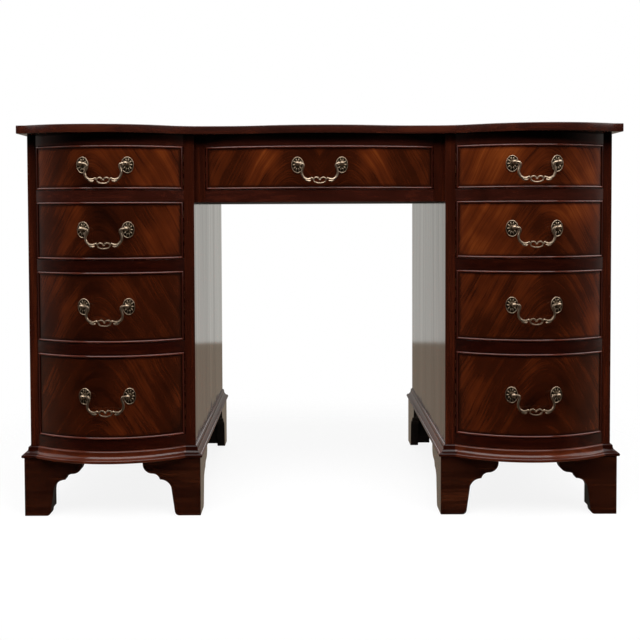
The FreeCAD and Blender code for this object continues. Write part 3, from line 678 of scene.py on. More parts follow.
def flame_mahogany():
    """Crotch veneer: nested arches about a dark heart, streaked along the arches and mottled across them."""
    finish, tree = new_finish("flame_mahogany")
    leaf = add_node(tree, "ShaderNodeUVMap", uv_map="veneer")
    leaf_x = coordinate(tree, leaf, "X")
    leaf_y = coordinate(tree, leaf, "Y")
    seed = stored(tree, "leaf_seed")
    bead_shade = stored(tree, "bead_shade")
    flat = vector(tree, X=leaf_x, Y=leaf_y, Z=seed)
    sway = maths(tree, "SUBTRACT", noise(tree, flat, (7.0, 9.0, 9.0)), 0.5)
    lift = maths(tree, "SUBTRACT", noise(tree, flat, (9.0, 7.0, 17.0)), 0.5)
    across = maths(tree, "MULTIPLY_ADD", sway, plume_sway, leaf_x)
    upward = maths(tree, "MULTIPLY_ADD", lift, plume_lift, leaf_y)
    squared = maths(tree, "MULTIPLY_ADD", across, across, plume_round ** 2)
    spread = maths(tree, "SUBTRACT", maths(tree, "SQRT", squared), plume_round)
    arch = maths(tree, "MULTIPLY_ADD", spread, plume_spread, upward)
    figure = vector(tree, X=arch, Y=across, Z=seed)
    band = noise(tree, figure, (26.0, 9.0, 31.0))
    streak = noise(tree, figure, (210.0, 15.0, 53.0), 3.0, 0.6)
    fibre = noise(tree, figure, (700.0, 20.0, 71.0))
    mottle = noise(tree, flat, (9.5, 7.5, 43.0), 3.0)
    heart = fade(tree, maths(tree, "ABSOLUTE", across), 0.0, heart_reach, heart_depth, 0.0)
    # Painted shade along the beads, from the mark stored at the rim of the face.
    bead_shade_squared = maths(tree, "MULTIPLY", bead_shade, bead_shade)
    # Painted shade: the leaf's tone also darkens the lower drawers.
    mixed = blend(tree, (band, 0.66), (streak, 0.47), (fibre, 0.32), (mottle, 1.00), (heart, -1.0),
                  (stored(tree, "leaf_tone_and_shade"), 1.0), (bead_shade_squared, -bead_shade_depth))
    mixed = maths(tree, "SUBTRACT", mixed, flame_level)
    lacquer(tree, ramp(tree, mixed, flame_tones), streak, figure_depth, mirror_polish)
    return finish


def face_loop(bow, low, high, inset, offset):
    """Points round a drawer front: along its bottom edge and back along its top."""
    across = bow.spread((high.x - low.x) / 2 - inset)
    bottom = [(bow.middle + x, bow.y(x, offset), low.z + inset) for x in across]
    top = [(bow.middle + x, bow.y(x, offset), high.z - inset) for x in reversed(across)]
    return bottom + top


def side_land(bow, low, high):
    """Y of the flat at each end of a front's back, where the drawer's sides meet it."""
    return bow.y((high.x - low.x) / 2 - side_thickness, -front_thickness)


def lay_veneer(front, bow, low, high, leaf):
    """Unroll the bowed face into its leaf's own flat measure, with the plume's heart at zero."""
    seed, tone, lean, heart_x, heart_z = leaf
    mesh = front.data
    rim = len(mesh.vertices) - 2 * bow.samples
    # Points at the rim of the face, next to the beads, carry the painted shade.
    bead_shade = mesh.attributes.new("bead_shade", "FLOAT", "POINT")
    for point in mesh.vertices:
        bead_shade.data[point.index].value = float(point.index < rim)
    flat = mesh.uv_layers.new(name="veneer")
    seeds = mesh.attributes.new("leaf_seed", "FLOAT", "FACE")
    tones = mesh.attributes.new("leaf_tone_and_shade", "FLOAT", "FACE")
    middle_z = (low.z + high.z) / 2
    matched = bow is centre_bow
    for face in mesh.polygons:
        on_left = face.center.x < bow.middle
        mirrored = on_left if matched else bow.middle < 0
        seeds.data[face.index].value = seed
        tones.data[face.index].value = tone + lean * (face.center.x - bow.middle) / bow.half
        for corner in face.loop_indices:
            point = mesh.vertices[mesh.loops[corner].vertex_index].co
            run = bow.radius * math.asin((point.x - bow.middle) / bow.radius)
            across = -run if mirrored else run
            flat.data[corner].uv = (across - abs(heart_x), point.z - middle_z - heart_z)


flame = flame_mahogany()
drawers = {f"{hand}_drawer_{number}": pedestal_bows[hand] for hand in hands for number in (1, 2, 3, 4)}
drawers["centre_drawer"] = centre_bow
for drawer, bow in drawers.items():
    low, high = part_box(f"{drawer}_front")
    land_y = side_land(bow, low, high)
    back_loop = [(x, min(y, land_y), z) for x, y, z in face_loop(bow, low, high, 0.0, -front_thickness)]
    front = piece(f"{drawer}_flame_front", skin([
        back_loop,
        face_loop(bow, low, high, 0.0, -bead_depth),
        face_loop(bow, low, high, bead_width, -bead_depth),
        face_loop(bow, low, high, bead_width, 0.0),
        face_loop(bow, low, high, bead_width + bead_shade_reach, 0.0),
    ]), [flame, rail_mahogany], drawer, [f"{drawer}_front"])
    veneer_start = len(front.data.vertices) - 4 * bow.samples
    for face in front.data.polygons:
        face.material_index = int(min(face.vertices) < veneer_start)
    lay_veneer(front, bow, low, high, leaves[drawer])


# Cock beads: thin mahogany strips with a half-round nose that stand proud round each drawer front.
# They are let into a rebate, mitred at the corners, glued and polished with the front.
bead_proud = 0.0025
bead_nose = bead_width / 2
nose_steps = 8
bead_stain = [
    (0.30, (0.028, 0.0052, 0.0028)),
    (0.52, (0.070, 0.0120, 0.0058)),
    (0.75, (0.120, 0.0230, 0.0100)),
]
bead_across = mahogany("bead_across", "x", bead_stain)
# Painted shade: the upright beads take the darker rail tones; their film is thinner.
bead_upright_painted_shade = mahogany("bead_upright_painted_shade", "z", rail_stain, film=dulled_film)
for drawer, bow in drawers.items():
    low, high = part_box(f"{drawer}_front")
    bead_loops = []
    for step in range(nose_steps + 1):
        angle = math.pi * step / nose_steps
        bead_loops.append(face_loop(bow, low, high, bead_nose * (1 - math.cos(angle)),
                                    bead_proud - bead_nose * (1 - math.sin(angle))))
    bead_loops.append(face_loop(bow, low, high, bead_width, -bead_depth))
    bead_loops.append(face_loop(bow, low, high, 0.0, -bead_depth))
    bead = piece(f"{drawer}_cock_bead", skin(bead_loops, ends="joined"), [bead_across, bead_upright_painted_shade],
                 drawer, [f"{drawer}_front"])
    for face in bead.data.polygons:
        face.material_index = int(face.index % bow.samples == bow.samples - 1)


# Drawer boxes: thin hardwood sides, back and bottom, planed, waxed inside and left unstained.
# The sides are lap-dovetailed into the front, and the bottom is slid into grooves from behind.
lining_tones = [
    (0.25, (0.120, 0.055, 0.022)),
    (0.50, (0.215, 0.108, 0.046)),
    (0.78, (0.300, 0.165, 0.078)),
]
tail_reach = 0.013
tail_proud = 0.0003
tail_pitch = 0.024
tail_root = 0.0105
tail_tip = 0.0160
lining_front_to_back = bare_timber("lining_front_to_back", "y", lining_tones, roughness=0.48)


def dovetails(drawer, bow):
    """The tails of both sides, let into the ends of the drawer front."""
    low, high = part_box(f"{drawer}_front")
    box_low, box_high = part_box(f"{drawer}_box")
    land_y = side_land(bow, low, high)
    count = int((box_high.z - box_low.z) // tail_pitch)
    first_z = (box_low.z + box_high.z - (count - 1) * tail_pitch) / 2
    tails = []
    for end, end_x in ((-1, low.x), (1, high.x)):
        for number in range(count):
            middle_z = first_z + number * tail_pitch
            tip_y = land_y - tail_reach
            outline = [(land_y, middle_z - tail_root / 2), (land_y, middle_z + tail_root / 2),
                       (tip_y, middle_z + tail_tip / 2), (tip_y, middle_z - tail_tip / 2)]
            tails.append(skin([[(end_x + end * stand, y, z) for y, z in outline]
                               for stand in (-tail_proud, tail_proud)], ends="plain"))
    return joined(tails)


for drawer, bow in drawers.items():
    refinish(f"{drawer}_box", lining_front_to_back)
    piece(f"{drawer}_dovetails", dovetails(drawer, bow), [lining_front_to_back], drawer)


# Rosettes: oval cast brass plates with a raised rim and a ring of petals round a domed eye.
# Each is held by a turned post with a ball head, whose bolt passes through the front to a nut inside.
handle_spacing = 0.089
rosette_width = 0.025
rosette_height = 0.0335
rosette_dome = 0.0035
post_radius = 0.0032
post_length = 0.017
post_rise = 0.0025
ball_radius = 0.005
bolt_radius = 0.0022
nut_radius = 0.005
nut_height = 0.004
bolt_tail = 0.002
plate_steps = 40
post_steps = 20
bolt_steps = 12
petal_count = 10
petal_height = 0.0024
petal_lift = 0.0013
rim_share = 0.88
eye_share = 0.37
rim_relief = 0.8
# The eye's relief is held low as painted shade from the post.
eye_relief_post_shade = 0.3
petal_relief = 0.6
ball_relief = 0.7
post_relief = 0.35
tarnish_depth = 0.7
tarnished_roughness = 0.55
rubbed_roughness = 0.27
brass_tones = [
    (0.00, (0.014, 0.010, 0.006)),
    (0.45, (0.130, 0.092, 0.056)),
    (1.00, (0.530, 0.410, 0.300)),
]


def antique_brass():
    """Cast brass, toned dark in the hollows and rubbed bright on what stands out."""
    finish, tree = new_finish("antique_brass")
    tarnish = noise(tree, object_place(tree), (420.0, 420.0, 420.0), 4.0, 0.6)
    tone = maths(tree, "MULTIPLY_ADD", maths(tree, "SUBTRACT", tarnish, 0.5), tarnish_depth,
                 stored(tree, "relief"))
    set_shader(tree, {
        "Base Color": ramp(tree, tone, brass_tones),
        "Metallic": 1.0,
        "Roughness": fade(tree, tone, 0.0, 1.0, tarnished_roughness, rubbed_roughness, "LINEAR"),
        "Normal": texture(tree, tarnish, 0.2, 0.0003),
    })
    return finish


def turned(profile, steps, middle=Vector((0.0, 0.0, 0.0))):
    """A piece turned about a line along -Y; the profile gives radii and reaches forward from the middle."""
    turns = [2 * math.pi * step / steps for step in range(steps)]
    loops = []
    for radius, reach in profile:
        y = middle.y - reach
        loops.append([(middle.x + radius * math.cos(turn), y, middle.z + radius * math.sin(turn))
                      for turn in turns])
    return skin(loops, ends="plain")


def new_tree(name, inputs):
    """A tree of Geometry Nodes with named inputs, given as pairs of a name and a kind."""
    tree = bpy.data.node_groups.new(name, "GeometryNodeTree")
    for label, kind in inputs:
        tree.interface.new_socket(label, in_out="INPUT", socket_type=f"NodeSocket{kind}")
    tree.interface.new_socket("Geometry", in_out="OUTPUT", socket_type="NodeSocketGeometry")
    return tree, tree.nodes.new("NodeGroupInput").outputs


def end_tree(tree, geometry, finish):
    """Close a tree: its instances are made real and get their finish."""
    real = add_node(tree, "GeometryNodeRealizeInstances", {"Geometry": geometry})
    finished = add_node(tree, "GeometryNodeSetMaterial", {"Geometry": real, "Material": finish})
    tree.links.new(finished, tree.nodes.new("NodeGroupOutput").inputs[0])
    return tree


def put_together(tree, *parts):
    made = tree.nodes.new("GeometryNodeJoinGeometry")
    for part in parts:
        tree.links.new(part, made.inputs[0])
    return made.outputs[0]


def transform(tree, geometry, **changes):
    return add_node(tree, "GeometryNodeTransform", {"Geometry": geometry, **changes})


def petal_rosettes():
    """A tree that adds a ring of petals to a round plate, draws it out to an oval and seats two of them."""
    sizes = ("Ring Radius", "Petal Length", "Petal Width", "Petal Height", "Ring Lift", "Oval", "Tilt")
    tree, given = new_tree("petal_rosettes", [
        ("Geometry", "Geometry"), ("Petals", "Int"), *[(size, "Float") for size in sizes],
        ("Left Seat", "Vector"), ("Right Seat", "Vector"), ("Finish", "Material"),
    ])
    ring = add_node(tree, "GeometryNodeMeshCircle",
                    {"Vertices": given["Petals"], "Radius": given["Ring Radius"]})
    lift = vector(tree, Y=maths(tree, "MULTIPLY", given["Ring Lift"], -1.0))
    ring = transform(tree, ring, Rotation=(math.pi / 2, 0.0, 0.0), Translation=lift)
    petal = add_node(tree, "GeometryNodeMeshUVSphere", {"Segments": 8, "Rings": 6, "Radius": 0.5})
    size = vector(tree, X=given["Petal Length"], Y=given["Petal Height"], Z=given["Petal Width"])
    petal = transform(tree, petal, Scale=size)
    turn = maths(tree, "DIVIDE", -2 * math.pi, given["Petals"])
    turn = maths(tree, "MULTIPLY", turn, add_node(tree, "GeometryNodeInputIndex"))
    petals = add_node(tree, "GeometryNodeInstanceOnPoints",
                      {"Points": ring, "Instance": petal, "Rotation": vector(tree, Y=turn)})
    petals = add_node(tree, "GeometryNodeRealizeInstances", {"Geometry": petals})
    petals = add_node(tree, "GeometryNodeSetShadeSmooth", {"Geometry": petals})
    petals = add_node(tree, "GeometryNodeStoreNamedAttribute",
                      {"Geometry": petals, "Name": "relief", "Value": petal_relief},
                      data_type="FLOAT", domain="POINT")
    plate = put_together(tree, petals, given["Geometry"])
    plate = transform(tree, plate, Scale=vector(tree, X=1.0, Y=1.0, Z=given["Oval"]))
    seated = []
    for end, seat in ((-1.0, "Left Seat"), (1.0, "Right Seat")):
        tilt = vector(tree, Z=maths(tree, "MULTIPLY", given["Tilt"], end))
        seated.append(transform(tree, plate, Translation=given[seat], Rotation=tilt))
    return end_tree(tree, put_together(tree, *seated), given["Finish"])


def mark_relief(mesh, relief_of):
    """Store how far each point stands out of its casting, from 0 in a hollow to 1 on a ridge."""
    relief = mesh.attributes.new("relief", "FLOAT", "POINT")
    for point in mesh.vertices:
        relief.data[point.index].value = relief_of(point.co)


def plain_mesh(name, stand):
    """The mesh that an object shows once its curve or its tree is worked out; the object itself goes."""
    shown = stand.evaluated_get(bpy.context.evaluated_depsgraph_get())
    mesh = bpy.data.meshes.new_from_object(shown)
    bpy.data.objects.remove(stand)
    mesh.name = name
    return mesh


def grown(name, base_mesh, tree, values):
    """Run a tree on a mesh, with values for its named inputs, and return the plain mesh that it grows."""
    stand = show(name, base_mesh)
    growth = stand.modifiers.new("growth", "NODES")
    growth.node_group = tree
    for socket in tree.interface.items_tree:
        if socket.name in values:
            growth[socket.identifier] = values[socket.name]
    return plain_mesh(name, stand)


brass = antique_brass()
plate_radius = rosette_width / 2
# The plate's section from its edge inwards: rim, groove, dish and eye, as shares of the radius and heights
plate_section = [
    (1.00, 0.0), (1.00, 0.0006), (0.975, 0.0014), (0.94, 0.0017), (0.90, 0.0014), (0.87, 0.0008),
    (0.82, 0.0007), (0.60, 0.0012), (0.42, 0.0018), (0.36, 0.0026), (0.29, 0.0033), (0.26, 0.0035),
]
plate_profile = [(share * plate_radius, reach) for share, reach in plate_section]
plate_mesh = smooth_mesh("rosette_plate", turned(plate_profile, plate_steps))


def plate_relief(point):
    """The rim is rubbed bright and the eye a little, held low as painted shade of the post; the dish between
    them is nearly black.
    """
    share = math.hypot(point.x, point.z) / plate_radius
    if share > rim_share:
        return rim_relief
    return eye_relief_post_shade if share < eye_share else 0.0


mark_relief(plate_mesh, plate_relief)
rosette_tree = petal_rosettes()
# The post's section from the plate forwards: foot, waist, neck and a ball between two shares of half a turn
ball_start = 0.14
ball_end = 0.98
ball_steps = 12
post_core = 0.0014
post_waist = 0.72 * post_radius
post_neck = 0.78 * post_radius
waist_reach = 0.42 * post_length
ball_turns = [math.pi * (ball_start + (ball_end - ball_start) * step / ball_steps)
              for step in range(ball_steps + 1)]
post_section = [(post_core, 0.0), (post_radius, 0.0), (post_radius, rosette_dome),
                (post_waist, waist_reach), (post_neck, post_length - ball_radius)]
post_section += [(ball_radius * math.sin(turn), post_length - ball_radius * math.cos(turn))
                 for turn in ball_turns]
pivots = {}
for drawer, bow in drawers.items():
    low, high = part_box(f"{drawer}_rosettes")
    handle_x = handle_spacing / 2
    seat_y = bow.y(handle_x)
    seat_z = (low.z + high.z) / 2
    seats = [Vector((bow.middle + end * handle_x, seat_y, seat_z)) for end in (-1, 1)]
    plates = grown(f"{drawer}_oval_plates", plate_mesh, rosette_tree, {
        "Petals": petal_count,
        "Ring Radius": plate_radius * 0.57,
        "Petal Length": plate_radius * 0.50,
        "Petal Width": plate_radius * 0.22,
        "Petal Height": petal_height,
        "Ring Lift": petal_lift,
        "Oval": rosette_height / rosette_width,
        "Tilt": math.asin(handle_x / bow.radius),
        "Left Seat": seats[0],
        "Right Seat": seats[1],
        "Finish": brass,
    })
    settle(show(f"{drawer}_oval_plates", plates), drawer, [f"{drawer}_rosettes"])
    nut_reach = seat_y - bow.y(handle_x + nut_radius, -front_thickness)
    bolt_section = [(bolt_radius, 0.0), (bolt_radius, nut_reach), (nut_radius, nut_reach),
                    (nut_radius, nut_reach - nut_height), (bolt_radius, nut_reach - nut_height),
                    (bolt_radius, nut_reach - nut_height - bolt_tail)]
    up = Vector((0.0, 0.0, post_rise))
    pivots[drawer] = Vector((bow.middle, seat_y - post_length, seat_z + post_rise))
    posts = [turned(section, steps, seat + up) for seat in seats
             for section, steps in ((post_section, post_steps), (bolt_section, bolt_steps))]
    post = piece(f"{drawer}_handle_posts", joined(posts), [brass], drawer,
                 [f"{drawer}_rosettes"])
    neck_y = seat_y - (waist_reach + post_length - ball_radius) / 2
    mark_relief(post.data, lambda point: ball_relief if point.y < neck_y else post_relief)


# Bails: swan-neck drop handles of cast brass, chased with leaves, beads and an open oval in the middle.
# The pin at each end turns in the ball of a post, so the bail swings up and falls back by itself.
wire = 0.0025
bail_front_relief = 0.75
bail_back_relief = 0.35
# Each route from the post inwards: across from the middle, up from the pivot line, and thickness in wires
arm_route = [
    (0.0420, 0.0, 0.90), (0.0372, 0.0, 1.00), (0.0340, -0.0015, 1.10), (0.0327, -0.0055, 1.10),
    (0.0344, -0.0115, 0.95), (0.0358, -0.0185, 0.92), (0.0338, -0.0256, 1.00), (0.0280, -0.0308, 1.10),
    (0.0225, -0.0315, 1.00), (0.0180, -0.0302, 0.70), (0.0142, -0.0308, 0.56), (0.0124, -0.0333, 0.52),
]
leaf_route = [
    (0.0306, -0.0292, 0.60), (0.0264, -0.0338, 1.00), (0.0216, -0.0352, 0.95), (0.0176, -0.0340, 0.40),
]
scroll_route = [
    (0.0124, -0.0333, 0.58), (0.0108, -0.0298, 0.66), (0.0068, -0.0280, 0.74), (0.0032, -0.0294, 0.66),
    (0.0007, -0.0322, 0.58),
]
ring_half_width = 0.0124
ring_drop = 0.0060
ring_middle_z = -0.0333
ring_thickness = 0.55
ring_steps = 10
bead_balls = [(0.0158, -0.0296, 0.0025), (0.0008, -0.0328, 0.0016)]


def drawn_wire(name, routes):
    """Smooth wires of varying thickness through given points, as one mesh about the pivot line."""
    curve = bpy.data.curves.new(name, "CURVE")
    curve.dimensions = "3D"
    curve.bevel_depth = wire
    curve.bevel_resolution = 3
    curve.resolution_u = 8
    curve.use_fill_caps = True
    for route in routes:
        spline = curve.splines.new("BEZIER")
        spline.bezier_points.add(len(route) - 1)
        for knot, (x, z, thickness) in zip(spline.bezier_points, route):
            knot.co = (x, 0.0, z)
            knot.handle_left_type = "AUTO"
            knot.handle_right_type = "AUTO"
            knot.radius = thickness
    return plain_mesh(name, show(name, curve))


def ball(middle, radius, steps=10):
    """A small cast bead."""
    profile = [(radius * math.sin(math.pi * step / steps), -radius * math.cos(math.pi * step / steps))
               for step in range(1, steps)]
    return turned(profile, bolt_steps, Vector(middle))


routes = []
for end in (-1, 1):
    for route in (arm_route, leaf_route, scroll_route):
        routes.append([(end * x, z, thickness) for x, z, thickness in route])
ring_turns = [math.pi * step / ring_steps for step in range(ring_steps + 1)]
routes.append([(ring_half_width * math.cos(turn), ring_middle_z - ring_drop * math.sin(turn), ring_thickness)
               for turn in ring_turns])
bail_wires = drawn_wire("bail_wires", routes)
bail_points = [tuple(point.co) for point in bail_wires.vertices]
bail_faces = [list(face.vertices) for face in bail_wires.polygons]
bail_beads = [ball((end * x, 0.0, z), radius) for end in (-1, 1) for x, z, radius in bead_balls]
for drawer, pivot in pivots.items():
    points, faces = joined([(bail_points, bail_faces)] + bail_beads)
    points = [tuple(pivot + Vector(point)) for point in points]
    bail = piece(f"{drawer}_swan_neck", (points, faces), [brass], f"{drawer}_bail",
                 [f"{drawer}_bail"])
    mark_relief(bail.data, lambda point: bail_front_relief if point.y < pivot.y else bail_back_relief)


# Desk top: a veneered board whose serpentine front swells over each pedestal and the kneehole.
# Its square edge is lipped in mahogany with eased arrises; a shallow recess takes the leather.
top_low, top_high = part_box("desk_top")
leather_low, leather_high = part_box("leather_writing_surface")
leather_margin = 0.062
glue_line = 0.0001
top_ease = 0.0012
ease_steps = 4
top_polish = 0.24
corner_overhang = 0.028
bow_overhang = 0.059
bow_sweep = 0.300
bow_apex_x = 0.455
dip_overhang = 0.0015
dip_outer_x = 0.235
dip_inner_x = 0.195
centre_overhang = 0.026
centre_sweep = 0.470
edge_steps = 16


def front_edge(inset):
    """The right half of the serpentine edge, moved in by inset, as plan points from the middle out."""

    def about(centre, radius, start, finish):
        """Points on an arc between two angles, measured from straight forwards."""
        return [Vector((centre.x + radius * math.sin(start + (finish - start) * step / edge_steps),
                        centre.y - radius * math.cos(start + (finish - start) * step / edge_steps)))
                for step in range(edge_steps + 1)]

    def wave(apex_x, reach, overhang, sweep, towards):
        """A swell that turns into a hollow: the swelling arc's angle and both arcs' centres."""
        drop = overhang - dip_overhang
        radii = (reach ** 2 + drop ** 2) / (2 * drop)
        swell_centre = Vector((apex_x, stile_plane - overhang + sweep))
        hollow_centre = Vector((apex_x + towards * reach, stile_plane - dip_overhang - (radii - sweep)))
        return math.asin(reach / radii), swell_centre, hollow_centre, radii - sweep

    angle, swell, hollow, hollow_radius = wave(0.0, dip_inner_x, centre_overhang, centre_sweep, 1)
    edge = about(swell, centre_sweep - inset, 0.0, angle)
    edge += about(hollow, hollow_radius + inset, math.pi + angle, math.pi)[1:]
    reach = bow_apex_x - dip_outer_x
    angle, swell, hollow, hollow_radius = wave(bow_apex_x, reach, bow_overhang, bow_sweep, -1)
    edge += about(hollow, hollow_radius + inset, math.pi, math.pi - angle)
    radius = bow_sweep - inset
    corner_y = stile_plane - corner_overhang + inset
    side_x = top_high.x - inset
    corner_angle = min(math.acos((swell.y - corner_y) / radius), math.asin((side_x - swell.x) / radius))
    edge += about(swell, radius, -angle, corner_angle)[1:]
    return edge + [Vector((side_x, max(corner_y, edge[-1].y)))]


def top_loop(inset, z):
    """The whole outline at a height: along the serpentine front and back along the straight rear edge."""
    right = front_edge(inset)
    front = [(-point.x, point.y) for point in reversed(right[1:])] + [tuple(point) for point in right]
    side_x = right[-1].x
    last = len(front) - 1
    back = [(side_x * (1 - 2 * step / last), top_high.y - inset) for step in range(last + 1)]
    return [(x, y, z) for x, y in front + back]


def eased_edge(depth):
    """Insets and drops of a quarter round that eases an arris."""
    turns = [math.pi / 2 * step / ease_steps for step in range(ease_steps + 1)]
    return [(depth * (1 - math.sin(turn)), depth * (1 - math.cos(turn))) for turn in turns]


lower_loops = [top_loop(inset, top_low.z + drop) for inset, drop in eased_edge(top_ease)]
upper_loops = [top_loop(inset, top_high.z - drop) for inset, drop in reversed(eased_edge(top_ease))]
recess_loops = [top_loop(leather_margin, top_high.z), top_loop(leather_margin, leather_low.z - glue_line)]
top_across = mahogany("top_across", "x", mahogany_stain, top_polish)
top_lengthways = mahogany("top_lengthways", "y", mahogany_stain, top_polish)
top_board = piece("serpentine_top", skin(lower_loops + upper_loops + recess_loops),
                  [top_across, top_lengthways], stands_for=["desk_top"])
side_band_x = front_edge(leather_margin)[-1].x
for face in top_board.data.polygons:
    corners = [abs(top_board.data.vertices[corner].co.x) for corner in face.vertices]
    face.material_index = int(min(corners) > side_band_x - arris)


# Writing surface: a skiver of dark green hide glued into the recess and burnished flat.
# Its border is tooled with gold leaf: two fillets and a row of small lozenges between them.
hide_tones = [
    (0.20, (0.006, 0.017, 0.010)),
    (0.55, (0.013, 0.034, 0.020)),
    (0.90, (0.026, 0.058, 0.035)),
]
gold_tones = [
    (0.30, (0.30, 0.17, 0.04)),
    (0.60, (0.72, 0.48, 0.16)),
]
hide_ease = 0.0006
tooling_inset = 0.016
tooling_width = 0.010
fillet_width = 0.0009
gold_lift = 0.00012
lozenge_pitch = 0.0085
lozenge_width = 0.0052


def tooled_hide():
    """Pebbled leather with soft mottling and a waxed sheen."""
    finish, tree = new_finish("tooled_hide")
    place = object_place(tree)
    clouds = noise(tree, place, (9.0, 9.0, 9.0), 4.0, 0.6)
    pebble = add_node(tree, "ShaderNodeTexVoronoi", {"Vector": place, "Scale": 900.0})
    creases = noise(tree, place, (160.0, 160.0, 160.0), 3.0)
    set_shader(tree, {
        "Base Color": ramp(tree, clouds, hide_tones),
        "Normal": texture(tree, maths(tree, "MULTIPLY_ADD", creases, 0.4, pebble), 0.35, 0.0003),
        "Roughness": 0.42,
        "Coat Weight": 0.15,
        "Coat Roughness": 0.3,
    })
    return finish


def gold_leaf():
    """Gilding, a little worn."""
    finish, tree = new_finish("gold_leaf")
    wear = noise(tree, object_place(tree), (260.0, 260.0, 260.0), 3.0)
    set_shader(tree, {"Base Color": ramp(tree, wear, gold_tones), "Metallic": 1.0, "Roughness": 0.34})
    return finish


def tooled_row():
    """A tree that stamps lozenges at an even pitch along a closed line."""
    tree, given = new_tree("tooled_row", [
        ("Geometry", "Geometry"), ("Pitch", "Float"), ("Width", "Float"), ("Lift", "Float"),
        ("Finish", "Material"),
    ])
    line = add_node(tree, "GeometryNodeMeshToCurve", {"Mesh": given["Geometry"]})
    spots = add_node(tree, "GeometryNodeCurveToPoints", {"Curve": line, "Length": given["Pitch"]},
                     output="Points", mode="LENGTH")
    lozenge = add_node(tree, "GeometryNodeMeshCone",
                       {"Vertices": 4, "Radius Top": 0.35, "Radius Bottom": 0.5, "Depth": 1.0})
    size = vector(tree, X=given["Width"], Y=given["Width"], Z=given["Lift"])
    lozenge = transform(tree, lozenge, Scale=size)
    stamped = add_node(tree, "GeometryNodeInstanceOnPoints", {"Points": spots, "Instance": lozenge})
    return end_tree(tree, stamped, given["Finish"])


def fillet(inset):
    """A fine gold line all round at an inset, as a closed band a hair above the hide."""
    corners = [(inset, leather_high.z), (inset, leather_high.z + gold_lift),
               (inset + fillet_width, leather_high.z + gold_lift), (inset + fillet_width, leather_high.z)]
    return skin([top_loop(corner_inset, z) for corner_inset, z in corners], ends="joined")


hide_inset = top_high.x - leather_high.x
hide_loops = [top_loop(hide_inset, leather_low.z)]
for inset, drop in reversed(eased_edge(hide_ease)):
    hide_loops.append(top_loop(hide_inset + inset, leather_high.z - drop))
piece("hide_writing_surface", skin(hide_loops), [tooled_hide()],
      stands_for=["leather_writing_surface"])
gold = gold_leaf()
tooling_start = hide_inset + tooling_inset
fillets = [fillet(tooling_start), fillet(tooling_start + tooling_width)]
piece("gilt_fillets", joined(fillets), [gold])
row_line = top_loop(tooling_start + (tooling_width + fillet_width) / 2, leather_high.z + gold_lift / 2)
row_mesh = bpy.data.meshes.new("tooled_line")
row_mesh.from_pydata(row_line, [(step, (step + 1) % len(row_line)) for step in range(len(row_line))], [])
lozenges = grown("gilt_lozenges", row_mesh, tooled_row(), {
    "Pitch": lozenge_pitch,
    "Width": lozenge_width,
    "Lift": gold_lift,
    "Finish": gold,
})
settle(show("gilt_lozenges", lozenges), "desk")


# Studio: a pale floor that fades into a white surround, a broad softbox above and in front, and smaller ones
# at each side and behind. The camera stands at the photograph's place, a little below the top and square
# to the front.
floor_reach = 2.4
floor_fade_start = 0.10
floor_fade_end = 0.55
floor_tones = [
    (0.30, (0.86, 0.86, 0.86)),
    (0.70, (0.90, 0.90, 0.90)),
]
wall_tones = [
    (0.00, (0.010, 0.009, 0.008)),
    (0.50, (0.240, 0.155, 0.135)),
    (1.00, (0.690, 0.675, 0.630)),
]
ground_tones = [
    (0.00, (0.004, 0.004, 0.004)),
    (1.00, (0.300, 0.245, 0.190)),
]
white = (1.0, 1.0, 1.0, 1.0)
# Directions, as parts of a unit line, between which the mirrored wall brightens and the ground ends
wall_dim_y = -0.85
wall_bright_y = 0.25
ground_low_z = -0.156
ground_high_z = -0.152
# Each softbox: its place, what it points at, its width and height, and its power in watts
softboxes = {
    "front": (Vector((0.0, -1.6, 2.5)), Vector((0.0, -0.1, 0.4)), (3.6, 1.5), 112.0),
    "left": (Vector((-2.4, -0.6, 1.9)), Vector((-0.5, -0.2, 0.6)), (2.2, 1.3), 20.0),
    "right": (Vector((2.4, -0.6, 1.9)), Vector((0.5, -0.2, 0.6)), (2.2, 1.3), 33.0),
    "rear": (Vector((0.0, 2.2, 1.9)), Vector((0.0, 0.2, 0.5)), (2.6, 1.3), 40.0),
}
ambient = 0.06
floor_white = 0.88
camera_place = Vector((-0.0248, -1.9535, 0.6199))
camera_pitch = math.radians(88.337)
camera_roll = math.radians(-0.212)
camera_lens = 47.34
camera_shift = (0.0194, -0.1324)


def pale_floor():
    """A matt floor that dissolves away from the desk's footprint, seen nearly white and not in the polish."""
    finish, tree = new_finish("pale_floor")
    place = object_place(tree)
    squares = []
    for axis, half in (("X", cad_high.x), ("Y", cad_high.y)):
        away = maths(tree, "SUBTRACT", maths(tree, "ABSOLUTE", coordinate(tree, place, axis)), half)
        away = maths(tree, "MAXIMUM", away, 0.0)
        squares.append(maths(tree, "MULTIPLY", away, away))
    distance = maths(tree, "SQRT", maths(tree, "ADD", *squares))
    grit = noise(tree, place, (60.0, 60.0, 60.0), 3.0)
    set_shader(tree, {
        "Base Color": ramp(tree, grit, floor_tones), "Roughness": 0.9, "Specular IOR Level": 0.1,
    })
    matt = tree.nodes["Principled BSDF"].outputs[0]
    light_path = tree.nodes.new("ShaderNodeLightPath").outputs
    glow = add_node(tree, "ShaderNodeEmission", {"Color": white, "Strength": 1.0})
    whitened = maths(tree, "MULTIPLY", light_path["Is Camera Ray"], floor_white)
    paper = add_node(tree, "ShaderNodeMixShader", {0: whitened, 1: matt, 2: glow})
    shown = maths(tree, "MULTIPLY", fade(tree, distance, floor_fade_start, floor_fade_end, 1.0, 0.0),
                  maths(tree, "SUBTRACT", 1.0, light_path["Is Glossy Ray"]))
    clear = add_node(tree, "ShaderNodeBsdfTransparent")
    laid = add_node(tree, "ShaderNodeMixShader", {0: shown, 1: clear, 2: paper})
    tree.links.new(laid, tree.nodes["Material Output"].inputs["Surface"])
    return finish


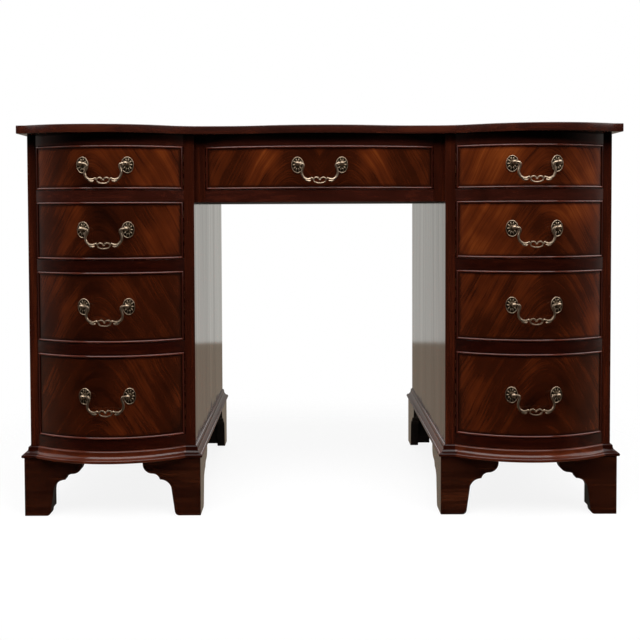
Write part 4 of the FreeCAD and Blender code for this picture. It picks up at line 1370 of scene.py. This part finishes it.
def surround():
    """White where it is seen; its mirror image is bright behind and beside the desk and dim in front."""
    world = bpy.data.worlds.new("white_surround")
    world.use_nodes = True
    tree = world.node_tree

    def background(colour, strength):
        return add_node(tree, "ShaderNodeBackground", {"Color": colour, "Strength": strength})

    direction = add_node(tree, "ShaderNodeTexCoord", output="Generated")
    behind = fade(tree, coordinate(tree, direction, "Y"), wall_dim_y, wall_bright_y, 0.0, 1.0)
    above = fade(tree, coordinate(tree, direction, "Z"), ground_low_z, ground_high_z, 0.0, 1.0, "LINEAR")
    wall = ramp(tree, behind, wall_tones)
    ground = ramp(tree, behind, ground_tones)
    mirrored = add_node(tree, "ShaderNodeMix", {0: above, 6: ground, 7: wall}, output=2, data_type="RGBA")
    light_path = tree.nodes.new("ShaderNodeLightPath").outputs
    reflected = maths(tree, "MAXIMUM", light_path["Is Glossy Ray"], light_path["Is Transmission Ray"])
    lit = add_node(tree, "ShaderNodeMixShader",
                   {0: reflected, 1: background(white, ambient), 2: background(mirrored, 1.0)})
    seen = add_node(tree, "ShaderNodeMixShader",
                    {0: light_path["Is Camera Ray"], 1: lit, 2: background(white, 1.0)})
    tree.links.new(seen, tree.nodes["World Output"].inputs["Surface"])
    return world


floor_mesh = bpy.data.meshes.new("floor")
floor_corners = [(x * floor_reach, y * floor_reach, 0.0) for x, y in ((-1, -1), (1, -1), (1, 1), (-1, 1))]
floor_mesh.from_pydata(floor_corners, [], [(0, 1, 2, 3)])
floor_mesh.materials.append(pale_floor())
show("floor", floor_mesh)
for where, (place, target, size, power) in softboxes.items():
    lamp = bpy.data.lights.new(f"{where}_softbox", "AREA")
    lamp.shape = "RECTANGLE"
    lamp.size, lamp.size_y = size
    lamp.energy = power
    softbox = show(f"{where}_softbox", lamp)
    softbox.location = place
    softbox.rotation_euler = (target - place).to_track_quat("-Z", "Y").to_euler()
lens = bpy.data.cameras.new("camera")
lens.lens = camera_lens
lens.sensor_width = 36.0
lens.shift_x, lens.shift_y = camera_shift
camera = show("camera", lens)
camera.location = camera_place
camera.rotation_euler = (camera_pitch, 0.0, 0.0)
camera.rotation_euler.rotate_axis("Z", camera_roll)
scene = bpy.context.scene
scene.camera = camera
scene.world = surround()
scene.view_settings.view_transform = "Standard"
